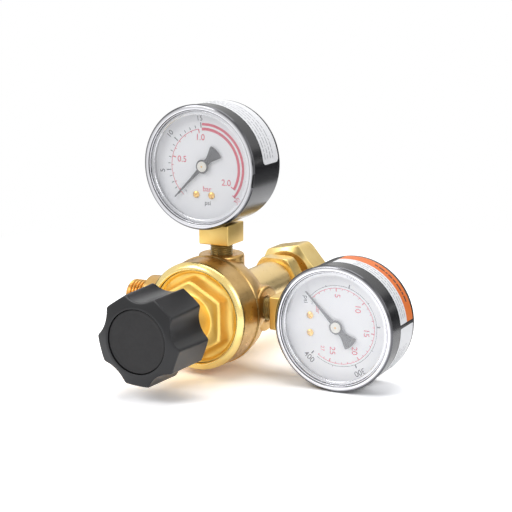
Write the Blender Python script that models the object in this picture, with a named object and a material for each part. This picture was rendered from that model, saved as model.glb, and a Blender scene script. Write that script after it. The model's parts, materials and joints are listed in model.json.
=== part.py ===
"""Single-stage gas pressure regulator with two dial gauges.

The main axis runs along Y: the inlet nut's mouth is the origin, the adjusting knob faces -Y.
The low pressure gauge stands on the top port (+Z), the high pressure gauge on the right port (+X),
and the hose outlet points to the left (-X). Lengths are in metres.
"""
import math

import bmesh
import bpy
from mathutils import Euler, Vector

MM = 0.001

# Clearances
REST_GAP = 0.3 * MM        # between faces that rest on each other
THREAD_GAP = 0.15 * MM     # radial, between a male thread and its bore
SLIDE_GAP = 0.4 * MM       # radial, between a sliding or spinning piece and its bore

# Facets around round pieces
FACETS_LARGE = 40
FACETS_MEDIUM = 24
FACETS_SMALL = 16
FACETS_TINY = 10

# Inlet nut and nipple
NUT_LENGTH = 14.0 * MM
NUT_FLATS = 28.6 * MM
NUT_FACE_RADIUS = 12.6 * MM
NUT_CHAMFER = 2.2 * MM
NUT_BORE_RADIUS = 10.9 * MM
NUT_WALL = 3.4 * MM
NUT_FLOAT = 4.5 * MM
NIPPLE_FLATS = 23.0 * MM
NIPPLE_HEX_LENGTH = 8.0 * MM
NIPPLE_CHAMFER = 1.0 * MM
NIPPLE_STEM_RADIUS = 6.2 * MM
NIPPLE_HEAD_LENGTH = 2.6 * MM
NIPPLE_NOSE_RADIUS = 5.6 * MM
NIPPLE_NOSE_LENGTH = 2.4 * MM
NIPPLE_THREAD_RADIUS = 6.7 * MM
NIPPLE_THREAD_LENGTH = 12.0 * MM
NIPPLE_BORE_RADIUS = 2.0 * MM
FILTER_RADIUS = 3.3 * MM
FILTER_LENGTH = 9.0 * MM

# Body forging
NECK_LENGTH = 48.2 * MM
NECK_RADIUS = 10.3 * MM
NECK_CHAMFER = 1.2 * MM
NECK_FILLET = 3.2 * MM
BODY_RADIUS = 23.4 * MM
BODY_LENGTH = 24.8 * MM    # from the port plane to the crest of the front ring
RIM_HEIGHT = 0.5 * MM
RIM_WIDTH = 1.6 * MM
RIM_STATION = 8.8 * MM
DOME_DEPTH = 15.5 * MM
RING_WIDTH = 3.4 * MM
RING_SLOPE = 2.2 * MM
PASSAGE_RADIUS = 2.4 * MM
LINK_DRILL_RADIUS = 1.2 * MM

# Ports and bosses, heights measured from the main axis
BOSS_RADIUS = 9.9 * MM
BOSS_EDGE = 1.3 * MM
BOSS_FLARE = 1.8 * MM
TOP_BOSS_HEIGHT = BODY_RADIUS - 0.1 * MM
SIDE_BOSS_HEIGHT = BODY_RADIUS - 0.6 * MM
SIDE_PORT_FORWARD = 1.0 * MM
SIDE_PORT_RISE = 1.2 * MM
OUTLET_BOSS_HEIGHT = BODY_RADIUS + 12.4 * MM
OUTLET_THREAD_LENGTH = 10.0 * MM
OUTLET_THREAD_RADIUS = 7.1 * MM
OUTLET_BORE_RADIUS = 3.0 * MM
OUTLET_SEAT_RADIUS = 4.8 * MM
PORT_DEPTH = 10.8 * MM

# Valve group
DIAPHRAGM_SEAT = 9.5 * MM   # station of the ledge that the diaphragm lies on
DIAPHRAGM_CLAMP = 4.8 * MM  # width of the clamped edge
CHAMBER_DEPTH = 4.0 * MM
VALVE_BORE_RADIUS = 6.0 * MM
NOZZLE_FLANGE_WIDTH = 1.6 * MM
NOZZLE_FLANGE = 2.0 * MM
NOZZLE_PLUG = 4.0 * MM
NOZZLE_LIP = 0.6 * MM
NOZZLE_LIP_RADIUS = 2.1 * MM
ORIFICE_RADIUS = 1.2 * MM
STEM_RADIUS = 0.6 * MM
SEAT_DISC_RADIUS = 3.6 * MM
SEAT_DISC_THICKNESS = 2.0 * MM
VALVE_RADIUS = 4.2 * MM
VALVE_LENGTH = 4.6 * MM
SPIGOT_RADIUS = 2.2 * MM
SPIGOT_LENGTH = 2.0 * MM
VALVE_SPRING_WIRE = 0.35 * MM
VALVE_SPRING_TURNS = 5.0
VALVE_SPRING_LENGTH = 7.1 * MM

# Diaphragm group
DIAPHRAGM_THICKNESS = 0.6 * MM
DIAPHRAGM_RISE = 1.0 * MM
CONVOLUTION_WIDTH = 2.9 * MM
SLIP_RING_THICKNESS = 0.9 * MM
PLATE_CLEARANCE = 2.0 * MM
PLATE_THICKNESS = 1.4 * MM
PLATE_BOSS_HEIGHT = 2.0 * MM
STUD_RADIUS = 1.5 * MM
DIAPHRAGM_NUT_RADIUS = 6.0 * MM
DIAPHRAGM_NUT_THICKNESS = 1.5 * MM

# Bonnet
BONNET_FLANGE = 10.2 * MM
BONNET_DISH = 1.3 * MM
BONNET_LEDGE = 5.3 * MM     # from the flange's edge in to the hexagon's flats
BONNET_HEX_HEIGHT = 6.5 * MM
BONNET_HEX_EDGE = 1.1 * MM
NOSE_BASE_WALL = 3.0 * MM
NOSE_TIP_WALL = 1.8 * MM
NOSE_LENGTH = 14.5 * MM
NOSE_EDGE = 1.0 * MM
SPRING_BORE_RADIUS = 9.6 * MM
BONNET_MOUTH_DEPTH = 4.0 * MM
BONNET_THREAD_LENGTH = 6.0 * MM
VENT_RADIUS = 1.2 * MM

# Main spring, button and adjusting screw
SPRING_WIRE = 1.1 * MM
SPRING_CLEARANCE = 1.0 * MM
SPRING_TURNS = 5.5
BUTTON_HEADROOM = 0.8 * MM
BUTTON_THICKNESS = 2.2 * MM
SCREW_RADIUS = 4.76 * MM
SCREW_LENGTH = 25.1 * MM
SCREW_TIP = 1.4 * MM
SCREW_HEAD_RADIUS = 7.0 * MM
SCREW_HEAD_LENGTH = 5.2 * MM

# Knob
KNOB_LENGTH = 24.0 * MM
KNOB_LOBES = 5
KNOB_CLOCKING = math.radians(51.0)
KNOB_CLEARANCE = 0.6 * MM
KNOB_WALL = 2.8 * MM
LOBE_HEIGHT = 4.2 * MM
LOBE_FLAT_INSET = 0.95 * MM
LOBE_TAPER = 0.75 * MM
KNOB_SHOULDER = 1.3 * MM
KNOB_REAR_EDGE = 0.6 * MM
KNOB_WEB = 4.5 * MM
SCALLOP_RADIUS = 11.1 * MM
SCALLOP_TAPER = 1.8 * MM
CAP_RIM = 1.0 * MM
CAP_THICKNESS = 2.0 * MM
CAP_SUNK = 0.4 * MM

# Gauges, in a gauge's own frame: Z to the reader, Y to the top of the dial, Z = 0 on the stem
STEM_FROM_BACK = 6.8 * MM
CASE_RADIUS = 25.94 * MM
CASE_WALL = 0.8 * MM
CASE_CORNER = 2.5 * MM
SHANK_SIZE = 14.3 * MM
SHANK_LENGTH = 8.9 * MM
SHANK_EDGE = 0.7 * MM
STEM_THREAD_RADIUS = 4.85 * MM
STEM_THREAD_LENGTH = 10.6 * MM
STEM_THREAD_SHOWN = 4.5 * MM
STEM_BORE_RADIUS = 1.5 * MM
SOCKET_NECK_RADIUS = 4.2 * MM
SOCKET_BLOCK_WIDTH = 9.0 * MM
SOCKET_BLOCK_TOP = -6.5 * MM
SOCKET_BLOCK_FRONT = 4.8 * MM
BEZEL_OVERHANG = 0.56 * MM
BEZEL_LIP = 1.44 * MM
LENS_LEDGE = 0.5 * MM
BEZEL_THICKNESS = 1.1 * MM
BEZEL_PLUG = 2.2 * MM
BEZEL_NOTCH_WIDTH = 6.0 * MM
BEZEL_NOTCH_DEPTH = 0.9 * MM
LENS_THICKNESS = 1.0 * MM
SPACER_WALL = 0.9 * MM
DIAL_THICKNESS = 0.5 * MM
DIAL_POST = 2.6 * MM
HIGH_GAUGE_CLOCKING = math.radians(-1.0)

# Gauge movement
PLATE_WALL = 0.9 * MM
PLATE_SPACE = 4.1 * MM
ARBOR_RADIUS = 0.6 * MM
PILLAR_RADIUS = 1.3 * MM
GEAR_MODULE = 0.25 * MM
GEAR_BACKLASH = 0.09 * MM
GEAR_THICKNESS = 0.8 * MM
PINION_TEETH = 10
SECTOR_TEETH = 60          # as a full wheel
SECTOR_TEETH_CUT = 12
SECTOR_BEARING = math.radians(-60.0)
POINTER_SWEEP = math.radians(270.0)
TAIL_RADIUS = 5.0 * MM
LINK_PIN_RADIUS = 0.35 * MM
LINK_EYE_RADIUS = 0.8 * MM
LINK_THICKNESS = 0.4 * MM
TUBE_INSET = 6.64 * MM     # from the case's wall to the tube's middle
TUBE_LIFT = 1.6 * MM       # above the case's floor
TUBE_HALF_THICKNESS = 0.9 * MM
TUBE_HALF_HEIGHT = 3.2 * MM
TUBE_END = math.radians(12.0)
DIAL_SCREW_SPACING = 7.4 * MM
DIAL_SCREW_BELOW = 4.6 * MM  # below the sector's pivot
DIAL_SCREW_RADIUS = 0.75 * MM
DIAL_SCREW_HEAD_RADIUS = 1.5 * MM
DIAL_SCREW_HEAD = 0.6 * MM
CASE_SCREW_DROP = 15.0 * MM
CASE_SCREW_RADIUS = 1.2 * MM
CASE_SCREW_LENGTH = 4.5 * MM
CASE_SCREW_INSET = 1.9 * MM  # from the side of the socket block
CASE_SCREW_HEAD = 1.3 * MM
RELIEF_RADIUS = 4.5 * MM
RELIEF_RISE = 9.0 * MM
RELIEF_FLANGE = 1.0 * MM

# Pointer, at rest on zero
POINTER_INSET = 5.5 * MM   # from the dial's edge to the pointer's tip
POINTER_TAIL = 9.3 * MM
POINTER_TAIL_HALF = 2.5 * MM
POINTER_TIP_HALF = 0.22 * MM
POINTER_THICKNESS = 0.35 * MM
POINTER_HUB_RADIUS = 2.5 * MM
POINTER_LIFT = 0.8 * MM
POINTER_CAP_RADIUS = 1.8 * MM
POINTER_CAP_HEIGHT = 0.6 * MM
POINTER_HEADROOM = 0.25 * MM
ZERO_ANGLE = math.radians(225.0)

# Stations worked out from the sizes above: distance from the inlet's mouth along -Y
NIPPLE_HEX_STATION = NUT_LENGTH + NUT_FLOAT
NECK_STATION = NIPPLE_HEX_STATION + NIPPLE_HEX_LENGTH + REST_GAP
PORT_STATION = NECK_STATION + NECK_LENGTH

# Radii that follow the body
OUTLET_LENGTH = OUTLET_BOSS_HEIGHT + OUTLET_THREAD_LENGTH
RING_INNER_RADIUS = BODY_RADIUS - RING_WIDTH
CHAMBER_RADIUS = RING_INNER_RADIUS - DIAPHRAGM_CLAMP
PLATE_RADIUS = CHAMBER_RADIUS - PLATE_CLEARANCE
NOZZLE_FLANGE_RADIUS = VALVE_BORE_RADIUS + NOZZLE_FLANGE_WIDTH
BONNET_FLATS = 2 * (RING_INNER_RADIUS - BONNET_LEDGE)
NOSE_BASE_RADIUS = SPRING_BORE_RADIUS + NOSE_BASE_WALL
NOSE_TIP_RADIUS = SPRING_BORE_RADIUS + NOSE_TIP_WALL
SPRING_MEAN_RADIUS = SPRING_BORE_RADIUS - SPRING_CLEARANCE - SPRING_WIRE
PLATE_BOSS_RADIUS = SPRING_MEAN_RADIUS - SPRING_WIRE - SLIDE_GAP

# Stations ahead of the port plane
CHAMBER_FLOOR = DIAPHRAGM_SEAT - CHAMBER_DEPTH
SEAT_FRONT = CHAMBER_FLOOR - NOZZLE_PLUG - NOZZLE_LIP - REST_GAP
VALVE_FRONT = SEAT_FRONT - SEAT_DISC_THICKNESS - REST_GAP
VALVE_BACK = VALVE_FRONT - VALVE_LENGTH
VALVE_FLOOR = VALVE_BACK - VALVE_SPRING_LENGTH - 2 * REST_GAP
DIAPHRAGM_STATION = DIAPHRAGM_SEAT + REST_GAP
SLIP_RING_STATION = DIAPHRAGM_STATION + DIAPHRAGM_THICKNESS + REST_GAP
BONNET_STATION = SLIP_RING_STATION + SLIP_RING_THICKNESS + REST_GAP
PLATE_STATION = DIAPHRAGM_STATION + DIAPHRAGM_THICKNESS + DIAPHRAGM_RISE + REST_GAP
SPRING_STATION = PLATE_STATION + PLATE_THICKNESS + REST_GAP
HEX_TOP = BONNET_FLANGE + BONNET_HEX_HEIGHT
BONNET_HEIGHT = HEX_TOP + NOSE_LENGTH
BONNET_ROOF = BONNET_HEIGHT - BONNET_THREAD_LENGTH
BUTTON_STATION = BONNET_STATION + BONNET_ROOF - BUTTON_HEADROOM - BUTTON_THICKNESS
SPRING_LENGTH = BUTTON_STATION - REST_GAP - SPRING_STATION
SCREW_STATION = BUTTON_STATION + BUTTON_THICKNESS + REST_GAP

# The knob is sized from the bonnet's nose outwards and from its cap inwards
KNOB_CAVITY_RADIUS = NOSE_BASE_RADIUS + KNOB_CLEARANCE
SCALLOP_FLOOR_REAR = KNOB_CAVITY_RADIUS + KNOB_WALL
SCALLOP_FLOOR_FRONT = SCALLOP_FLOOR_REAR - SCALLOP_TAPER
KNOB_RADIUS = SCALLOP_FLOOR_REAR + LOBE_HEIGHT
KNOB_FLAT_REAR = KNOB_RADIUS - LOBE_FLAT_INSET
KNOB_FLAT_FRONT = KNOB_FLAT_REAR - LOBE_TAPER
CAP_RADIUS = SCALLOP_FLOOR_FRONT - CAP_RIM
CAP_FLOOR = KNOB_LENGTH - CAP_SUNK - CAP_THICKNESS - REST_GAP
KNOB_CAVITY_DEPTH = CAP_FLOOR - SCREW_HEAD_LENGTH - 2 * REST_GAP - KNOB_WEB
KNOB_STATION = SCREW_STATION + SCREW_LENGTH - KNOB_CAVITY_DEPTH - KNOB_WEB - REST_GAP

# Gauge levels in the gauge's own frame, from the stem's axis to the front
MOVEMENT_LEVEL = SOCKET_BLOCK_FRONT + REST_GAP
GEAR_LEVEL = MOVEMENT_LEVEL + PLATE_WALL + 1.4 * MM
LINK_LEVEL = GEAR_LEVEL + GEAR_THICKNESS + REST_GAP
FRONT_PLATE_LEVEL = MOVEMENT_LEVEL + PLATE_WALL + PLATE_SPACE
DIAL_BACK = FRONT_PLATE_LEVEL + PLATE_WALL + DIAL_POST + REST_GAP
DIAL_FACE = DIAL_BACK + DIAL_THICKNESS
POINTER_LEVEL = DIAL_FACE + POINTER_LIFT
CAP_LEVEL = POINTER_LEVEL + POINTER_THICKNESS + REST_GAP
LENS_BACK = CAP_LEVEL + POINTER_CAP_HEIGHT + POINTER_HEADROOM
LENS_FRONT = LENS_BACK + LENS_THICKNESS
BEZEL_BACK = LENS_FRONT + REST_GAP
GAUGE_STEM_SETBACK = BEZEL_BACK + BEZEL_THICKNESS
CASE_BACK = -STEM_FROM_BACK
TUBE_PLANE = CASE_BACK + CASE_WALL + TUBE_LIFT + TUBE_HALF_HEIGHT

# Radii and heights that follow the gauge's case
CASE_INNER_RADIUS = CASE_RADIUS - CASE_WALL
BEZEL_RADIUS = CASE_RADIUS + BEZEL_OVERHANG
BEZEL_OPENING = CASE_INNER_RADIUS - BEZEL_LIP
BEZEL_PLUG_RADIUS = CASE_INNER_RADIUS - THREAD_GAP
LENS_RADIUS = BEZEL_OPENING + LENS_LEDGE - THREAD_GAP
DIAL_RADIUS = CASE_INNER_RADIUS - SLIDE_GAP
POINTER_LENGTH = DIAL_RADIUS - POINTER_INSET
TUBE_ARC_RADIUS = CASE_INNER_RADIUS - TUBE_INSET
CASE_SCREW_SPACING = SOCKET_BLOCK_WIDTH - 2 * CASE_SCREW_INSET
CASE_SCREW_HEAD_RADIUS = CASE_SCREW_SPACING / 2 - SLIDE_GAP
SHANK_TOP = -(CASE_RADIUS + REST_GAP)
SHANK_BOTTOM = SHANK_TOP - SHANK_LENGTH
GAUGE_REACH = -SHANK_BOTTOM + STEM_THREAD_SHOWN   # from a boss face to the dial's centre

# Gear train and link of the movement
PINION_PITCH_RADIUS = PINION_TEETH * GEAR_MODULE / 2
SECTOR_PITCH_RADIUS = SECTOR_TEETH * GEAR_MODULE / 2
SECTOR_PIVOT = Vector((math.cos(SECTOR_BEARING), math.sin(SECTOR_BEARING))) * (
    PINION_PITCH_RADIUS + SECTOR_PITCH_RADIUS)
DIAL_SCREW_DROP = DIAL_SCREW_BELOW - SECTOR_PIVOT.y
TUBE_TIP = Vector((math.cos(TUBE_END), math.sin(TUBE_END))) * TUBE_ARC_RADIUS
SECTOR_TRAVEL = POINTER_SWEEP * PINION_TEETH / SECTOR_TEETH
PIVOT_TO_TIP = TUBE_TIP - SECTOR_PIVOT
# The link stands square to the tail arm in the middle of the travel
TAIL_ANGLE = (math.atan2(PIVOT_TO_TIP.y, PIVOT_TO_TIP.x) - SECTOR_TRAVEL / 2
              - math.acos(TAIL_RADIUS / PIVOT_TO_TIP.length))
TAIL_PIN = SECTOR_PIVOT + Vector((math.cos(TAIL_ANGLE), math.sin(TAIL_ANGLE))) * TAIL_RADIUS

AXIS_FORWARD = (math.radians(90.0), 0.0, 0.0)
AXIS_UP = (0.0, 0.0, 0.0)
AXIS_RIGHT = (0.0, math.radians(90.0), 0.0)
AXIS_LEFT = (0.0, math.radians(-90.0), 0.0)


# Materials

def material(name, colour, roughness, metallic=0.0):
    """A Principled material, made once for each name."""
    found = bpy.data.materials.get(name)
    if found:
        return found
    made = bpy.data.materials.new(name)
    made.use_nodes = True
    shader = made.node_tree.nodes["Principled BSDF"]
    shader.inputs["Base Color"].default_value = (*colour, 1.0)
    shader.inputs["Roughness"].default_value = roughness
    shader.inputs["Metallic"].default_value = metallic
    made.diffuse_color = (*colour, 1.0)
    return made


def brass():
    return material("brass", (0.66, 0.46, 0.20), 0.32, 1.0)


def bright_brass():
    return material("bright_brass", (0.80, 0.52, 0.16), 0.20, 1.0)


def bronze():
    return material("bronze", (0.55, 0.35, 0.16), 0.38, 1.0)


def steel():
    return material("steel", (0.58, 0.58, 0.60), 0.35, 1.0)


def bezel_metal():
    return material("bezel_metal", (0.82, 0.82, 0.84), 0.16, 1.0)


def black_steel():
    return material("black_steel", (0.025, 0.025, 0.028), 0.30)


def black_plastic():
    return material("black_plastic", (0.03, 0.03, 0.033), 0.42)


def rubber():
    return material("rubber", (0.04, 0.04, 0.045), 0.65)


def white_enamel():
    return material("white_enamel", (0.88, 0.88, 0.88), 0.35)


def pointer_black():
    return material("pointer_black", (0.05, 0.05, 0.055), 0.45)


def clear_plastic():
    return material("clear_plastic", (0.92, 0.94, 0.95), 0.05)


# Building blocks

def place(obj, location=(0.0, 0.0, 0.0), rotation=(0.0, 0.0, 0.0), parent=None):
    """Put an object down by its location and rotation, under its parent if it has one."""
    obj.location = location
    obj.rotation_euler = rotation
    obj.parent = parent
    return obj


def finished(name, mesh_data, finish, sharp=30.0):
    """A linked object from mesh data, shaded smooth up to the sharp angle in degrees."""
    mesh_data.shade_smooth()
    mesh_data.set_sharp_from_angle(angle=math.radians(sharp))
    obj = bpy.data.objects.new(name, mesh_data)
    bpy.context.collection.objects.link(obj)
    if finish:
        mesh_data.materials.append(finish)
    return obj


def to_mesh(name, shape):
    """Mesh data from a bmesh, with its faces pointing out."""
    bmesh.ops.recalc_face_normals(shape, faces=shape.faces)
    data = bpy.data.meshes.new(name)
    shape.to_mesh(data)
    shape.free()
    return data


def arc(centre_r, centre_z, radius, start, end, steps):
    """Points (r, z) along an arc, angles in degrees from +r towards +z."""
    points = []
    for i in range(steps + 1):
        angle = math.radians(start + (end - start) * i / steps)
        points.append((centre_r + radius * math.cos(angle), centre_z + radius * math.sin(angle)))
    return points


def turned(name, profile, facets, finish=None, sharp=30.0):
    """A solid turned about Z from (r, z) points. A profile that leaves the axis closes on itself."""
    shape = bmesh.new()
    rings = []
    for radius, level in profile:
        if radius < 1e-9:
            rings.append([shape.verts.new((0.0, 0.0, level))])
            continue
        ring = []
        for i in range(facets):
            angle = 2 * math.pi * i / facets
            ring.append(shape.verts.new((radius * math.cos(angle), radius * math.sin(angle), level)))
        rings.append(ring)
    pairs = list(zip(rings, rings[1:]))
    if len(rings[0]) > 1 and len(rings[-1]) > 1:
        pairs.append((rings[-1], rings[0]))
    for low, high in pairs:
        for i in range(facets):
            j = (i + 1) % facets
            corners = [low[i % len(low)], low[j % len(low)], high[j % len(high)], high[i % len(high)]]
            shape.faces.new(list(dict.fromkeys(corners)))
    return finished(name, to_mesh(name, shape), finish, sharp)


def loft(name, sections, finish=None, sharp=30.0, loop=False):
    """A solid through sections with equal point counts, capped at both ends unless it is a loop."""
    shape = bmesh.new()
    rings = [[shape.verts.new(point) for point in section] for section in sections]
    pairs = list(zip(rings, rings[1:]))
    if loop:
        pairs.append((rings[-1], rings[0]))
    for low, high in pairs:
        for i in range(len(low)):
            j = (i + 1) % len(low)
            shape.faces.new((low[i], low[j], high[j], high[i]))
    if not loop:
        shape.faces.new(rings[0])
        shape.faces.new(rings[-1])
    return finished(name, to_mesh(name, shape), finish, sharp)


def plate(name, outline, low, high, finish=None):
    """An outline of (x, y) points extruded from one level to another."""
    sections = [[(x, y, level) for x, y in outline] for level in (low, high)]
    return loft(name, sections, finish)


def box(name, low, high, finish=None, edge=0.0):
    """A block between two corners, with rounded edges where asked."""
    shape = bmesh.new()
    bmesh.ops.create_cube(shape, size=1.0)
    for vert in shape.verts:
        vert.co = Vector([low[i] if vert.co[i] < 0 else high[i] for i in range(3)])
    if edge:
        bmesh.ops.bevel(shape, geom=list(shape.edges), offset=edge, segments=2, profile=0.5,
                        affect="EDGES")
    return finished(name, to_mesh(name, shape), finish)


def circle(radius, facets, centre=(0.0, 0.0), phase=0.0):
    """Points (x, y) around a circle."""
    return [(centre[0] + radius * math.cos(phase + 2 * math.pi * i / facets),
             centre[1] + radius * math.sin(phase + 2 * math.pi * i / facets)) for i in range(facets)]


def hexagon(name, flats, low, high, phase=math.radians(90.0)):
    """A plain hexagonal prism, given across its flats."""
    corner = flats / 2 / math.cos(math.radians(30.0))
    return plate(name, circle(corner, 6, phase=phase), low, high)


def tool(obj):
    """Mark an object as a cutter or guide, which the model leaves out."""
    obj.hide_render = True
    obj.display_type = "WIRE"
    return obj


def combine(target, other, operation):
    """Boolean of two objects, kept as a modifier."""
    change = target.modifiers.new(operation.lower(), "BOOLEAN")
    change.operation = operation
    change.solver = "EXACT"
    change.object = tool(other)
    return target


def cut(target, other):
    return combine(target, other, "DIFFERENCE")


def add(target, other):
    return combine(target, other, "UNION")


def keep(target, other):
    return combine(target, other, "INTERSECT")


def coil(name, mean_radius, wire, low, high, turns, finish, steps=12, sides=6):
    """A compression spring along Z with one closed turn at each end."""
    closed_pitch = 2 * wire + 0.1 * MM
    free_height = (high - low) - 2 * wire - 2 * closed_pitch
    sections = []
    count = int(turns * steps)
    for i in range(count + 1):
        turn = i / steps
        middle = min(max(turn - 1.0, 0.0), turns - 2.0) / (turns - 2.0)
        ends = min(turn, 1.0) + max(turn - (turns - 1.0), 0.0)
        level = low + wire + ends * closed_pitch + middle * free_height
        angle = 2 * math.pi * turn
        section = []
        for k in range(sides):
            side = 2 * math.pi * k / sides
            radius = mean_radius + wire * math.cos(side)
            section.append((radius * math.cos(angle), radius * math.sin(angle),
                            level + wire * math.sin(side)))
        sections.append(section)
    return loft(name, sections, finish, sharp=70.0)


def ahead(station):
    """World location of a point on the main axis, a distance ahead of the port plane."""
    return (0.0, -(PORT_STATION + station), 0.0)


# Inlet

def inlet_nut():
    """Hexagonal union nut, open to the rear, chamfered at both ends."""
    face = NUT_LENGTH
    corner = NUT_FLATS / 2 / math.cos(math.radians(30.0))
    hole = NIPPLE_STEM_RADIUS + SLIDE_GAP
    profile = [
        (NUT_BORE_RADIUS + 0.7 * MM, 0.0),
        (corner - NUT_CHAMFER / 2, 0.0),
        (corner, NUT_CHAMFER / 2),
        (corner, face - NUT_CHAMFER),
        (NUT_FACE_RADIUS, face),
        (hole, face),
        (hole, face - NUT_WALL),
        (NUT_BORE_RADIUS, face - NUT_WALL),
        (NUT_BORE_RADIUS, 0.7 * MM),
    ]
    nut = turned("inlet_nut", profile, FACETS_LARGE, brass())
    keep(nut, place(hexagon("inlet_nut_hex", NUT_FLATS, -MM, face + MM, math.radians(10.5)),
                    rotation=AXIS_FORWARD))
    return place(nut, rotation=AXIS_FORWARD)


def inlet_nipple():
    """Nipple with a nose that seats in the valve, a head that the nut pulls on, and a hexagon."""
    hex_low = NIPPLE_HEX_STATION
    hex_high = hex_low + NIPPLE_HEX_LENGTH
    head_front = NUT_LENGTH - NUT_WALL - REST_GAP
    head_back = head_front - NIPPLE_HEAD_LENGTH
    nose = head_back - NIPPLE_NOSE_LENGTH
    head_radius = NUT_BORE_RADIUS - SLIDE_GAP
    corner = NIPPLE_FLATS / 2 / math.cos(math.radians(30.0))
    filter_bore = FILTER_RADIUS + THREAD_GAP
    front = hex_high + NIPPLE_THREAD_LENGTH
    filter_floor = front - FILTER_LENGTH - 2 * REST_GAP
    profile = [
        (NIPPLE_BORE_RADIUS, nose),
        (NIPPLE_NOSE_RADIUS - 1.2 * MM, nose),
        (NIPPLE_NOSE_RADIUS, nose + 0.8 * MM),
        (NIPPLE_NOSE_RADIUS + 0.6 * MM, head_back),
        (head_radius, head_back + 0.5 * MM),
        (head_radius, head_front),
        (NIPPLE_STEM_RADIUS, head_front),
        (NIPPLE_STEM_RADIUS, hex_low),
        (corner - NIPPLE_CHAMFER, hex_low),
        (corner, hex_low + NIPPLE_CHAMFER),
        (corner, hex_high - NIPPLE_CHAMFER),
        (corner - NIPPLE_CHAMFER, hex_high),
        (NIPPLE_THREAD_RADIUS, hex_high),
        (NIPPLE_THREAD_RADIUS, front - 0.6 * MM),
        (NIPPLE_THREAD_RADIUS - 0.6 * MM, front),
        (filter_bore, front),
        (filter_bore, filter_floor),
        (NIPPLE_BORE_RADIUS, filter_floor),
    ]
    nipple = turned("inlet_nipple", profile, FACETS_MEDIUM, brass())
    keep(nipple, place(hexagon("inlet_nipple_hex", NIPPLE_FLATS, -MM, front + MM, 0.0),
                       rotation=AXIS_FORWARD))
    return place(nipple, rotation=AXIS_FORWARD)


def inlet_filter():
    """Sintered bronze filter in the nipple's front bore."""
    front = NIPPLE_HEX_STATION + NIPPLE_HEX_LENGTH + NIPPLE_THREAD_LENGTH
    low = front - FILTER_LENGTH - REST_GAP
    dish = FILTER_RADIUS * 0.6
    profile = [
        (0.0, low),
        (FILTER_RADIUS, low),
        (FILTER_RADIUS, front - REST_GAP),
        (dish, front - REST_GAP),
        (0.0, low + 1.5 * MM),
    ]
    obj = turned("inlet_filter", profile, FACETS_TINY, bronze())
    return place(obj, rotation=AXIS_FORWARD)


# Body

def body_outside():
    """Outer skin of the forging: neck, dome, rim, drum and front ring."""
    back = -NECK_LENGTH
    dome_start = RIM_STATION - 0.3 * MM
    dome_foot = NECK_RADIUS + NECK_FILLET
    profile = [(0.0, back), (NECK_RADIUS - NECK_CHAMFER, back), (NECK_RADIUS, back + NECK_CHAMFER)]
    foot_level = dome_start - DOME_DEPTH
    profile += arc(dome_foot, foot_level - NECK_FILLET, NECK_FILLET, 180.0, 90.0, 3)
    steps = 6
    for i in range(1, steps + 1):
        angle = math.radians(90.0 * (1 - i / steps))
        profile.append((dome_foot + (BODY_RADIUS - dome_foot) * math.cos(angle),
                        dome_start - DOME_DEPTH * math.sin(angle)))
    crest = BODY_LENGTH
    profile += [
        (BODY_RADIUS + RIM_HEIGHT, RIM_STATION),
        (BODY_RADIUS + RIM_HEIGHT, RIM_STATION + RIM_WIDTH),
        (BODY_RADIUS, RIM_STATION + RIM_WIDTH + RIM_HEIGHT),
        (BODY_RADIUS, crest - RING_SLOPE),
        (BODY_RADIUS - 0.25 * RING_WIDTH, crest - 0.45 * RING_SLOPE),
        (BODY_RADIUS - 0.55 * RING_WIDTH, crest - 0.08 * RING_SLOPE),
        (BODY_RADIUS - 0.8 * RING_WIDTH, crest),
        (0.0, crest),
    ]
    return turned("body", profile, FACETS_LARGE, brass())


def main_bore():
    """Cutter for everything drilled on the main axis."""
    inner = RING_INNER_RADIUS
    back = -NECK_LENGTH
    nipple_bore = NIPPLE_THREAD_RADIUS + THREAD_GAP
    profile = [
        (0.0, back - MM),
        (nipple_bore, back - MM),
        (nipple_bore, back + NIPPLE_THREAD_LENGTH + 2 * REST_GAP),
        (PASSAGE_RADIUS, back + NIPPLE_THREAD_LENGTH + 4 * MM),
        (PASSAGE_RADIUS, VALVE_FLOOR),
        (VALVE_BORE_RADIUS, VALVE_FLOOR),
        (VALVE_BORE_RADIUS, CHAMBER_FLOOR),
        (CHAMBER_RADIUS, CHAMBER_FLOOR),
        (CHAMBER_RADIUS, DIAPHRAGM_SEAT),
        (inner, DIAPHRAGM_SEAT),
        (inner, BODY_LENGTH - 0.5 * MM),
        (inner + 0.6 * MM, BODY_LENGTH + 0.1 * MM),
        (inner + 0.6 * MM, BODY_LENGTH + MM),
        (0.0, BODY_LENGTH + MM),
    ]
    return place(turned("main_bore", profile, FACETS_LARGE), ahead(0.0), AXIS_FORWARD)


def boss(name, height, rotation, location):
    """A round port boss with a flared root."""
    root = BODY_RADIUS - 7.5 * MM
    profile = [
        (0.0, 0.0),
        (BOSS_RADIUS + BOSS_FLARE, 0.0),
        (BOSS_RADIUS + BOSS_FLARE, root),
        (BOSS_RADIUS + 0.35 * BOSS_FLARE, root + 1.5 * MM),
        (BOSS_RADIUS, root + 4.5 * MM),
        (BOSS_RADIUS, height - BOSS_EDGE),
        (BOSS_RADIUS - 0.4 * BOSS_EDGE, height - 0.4 * BOSS_EDGE),
        (BOSS_RADIUS - BOSS_EDGE, height),
        (0.0, height),
    ]
    return place(turned(name, profile, FACETS_MEDIUM), location, rotation)


def gauge_port(name, height, rotation, location):
    """Cutter for a gauge port: the thread bore with a small countersink."""
    bore = STEM_THREAD_RADIUS + THREAD_GAP
    floor = height - PORT_DEPTH
    profile = [
        (0.0, floor),
        (bore, floor),
        (bore, height - 0.5 * MM),
        (bore + 0.9 * MM, height + 0.4 * MM),
        (0.0, height + 0.4 * MM),
    ]
    return place(turned(name, profile, FACETS_SMALL), location, rotation)


def drilling(name, radius, start, end, rotation, location):
    """Cutter for a small straight hole between two levels."""
    profile = [(0.0, start), (radius, start), (radius, end), (0.0, end)]
    return place(turned(name, profile, FACETS_TINY), location, rotation)


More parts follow.
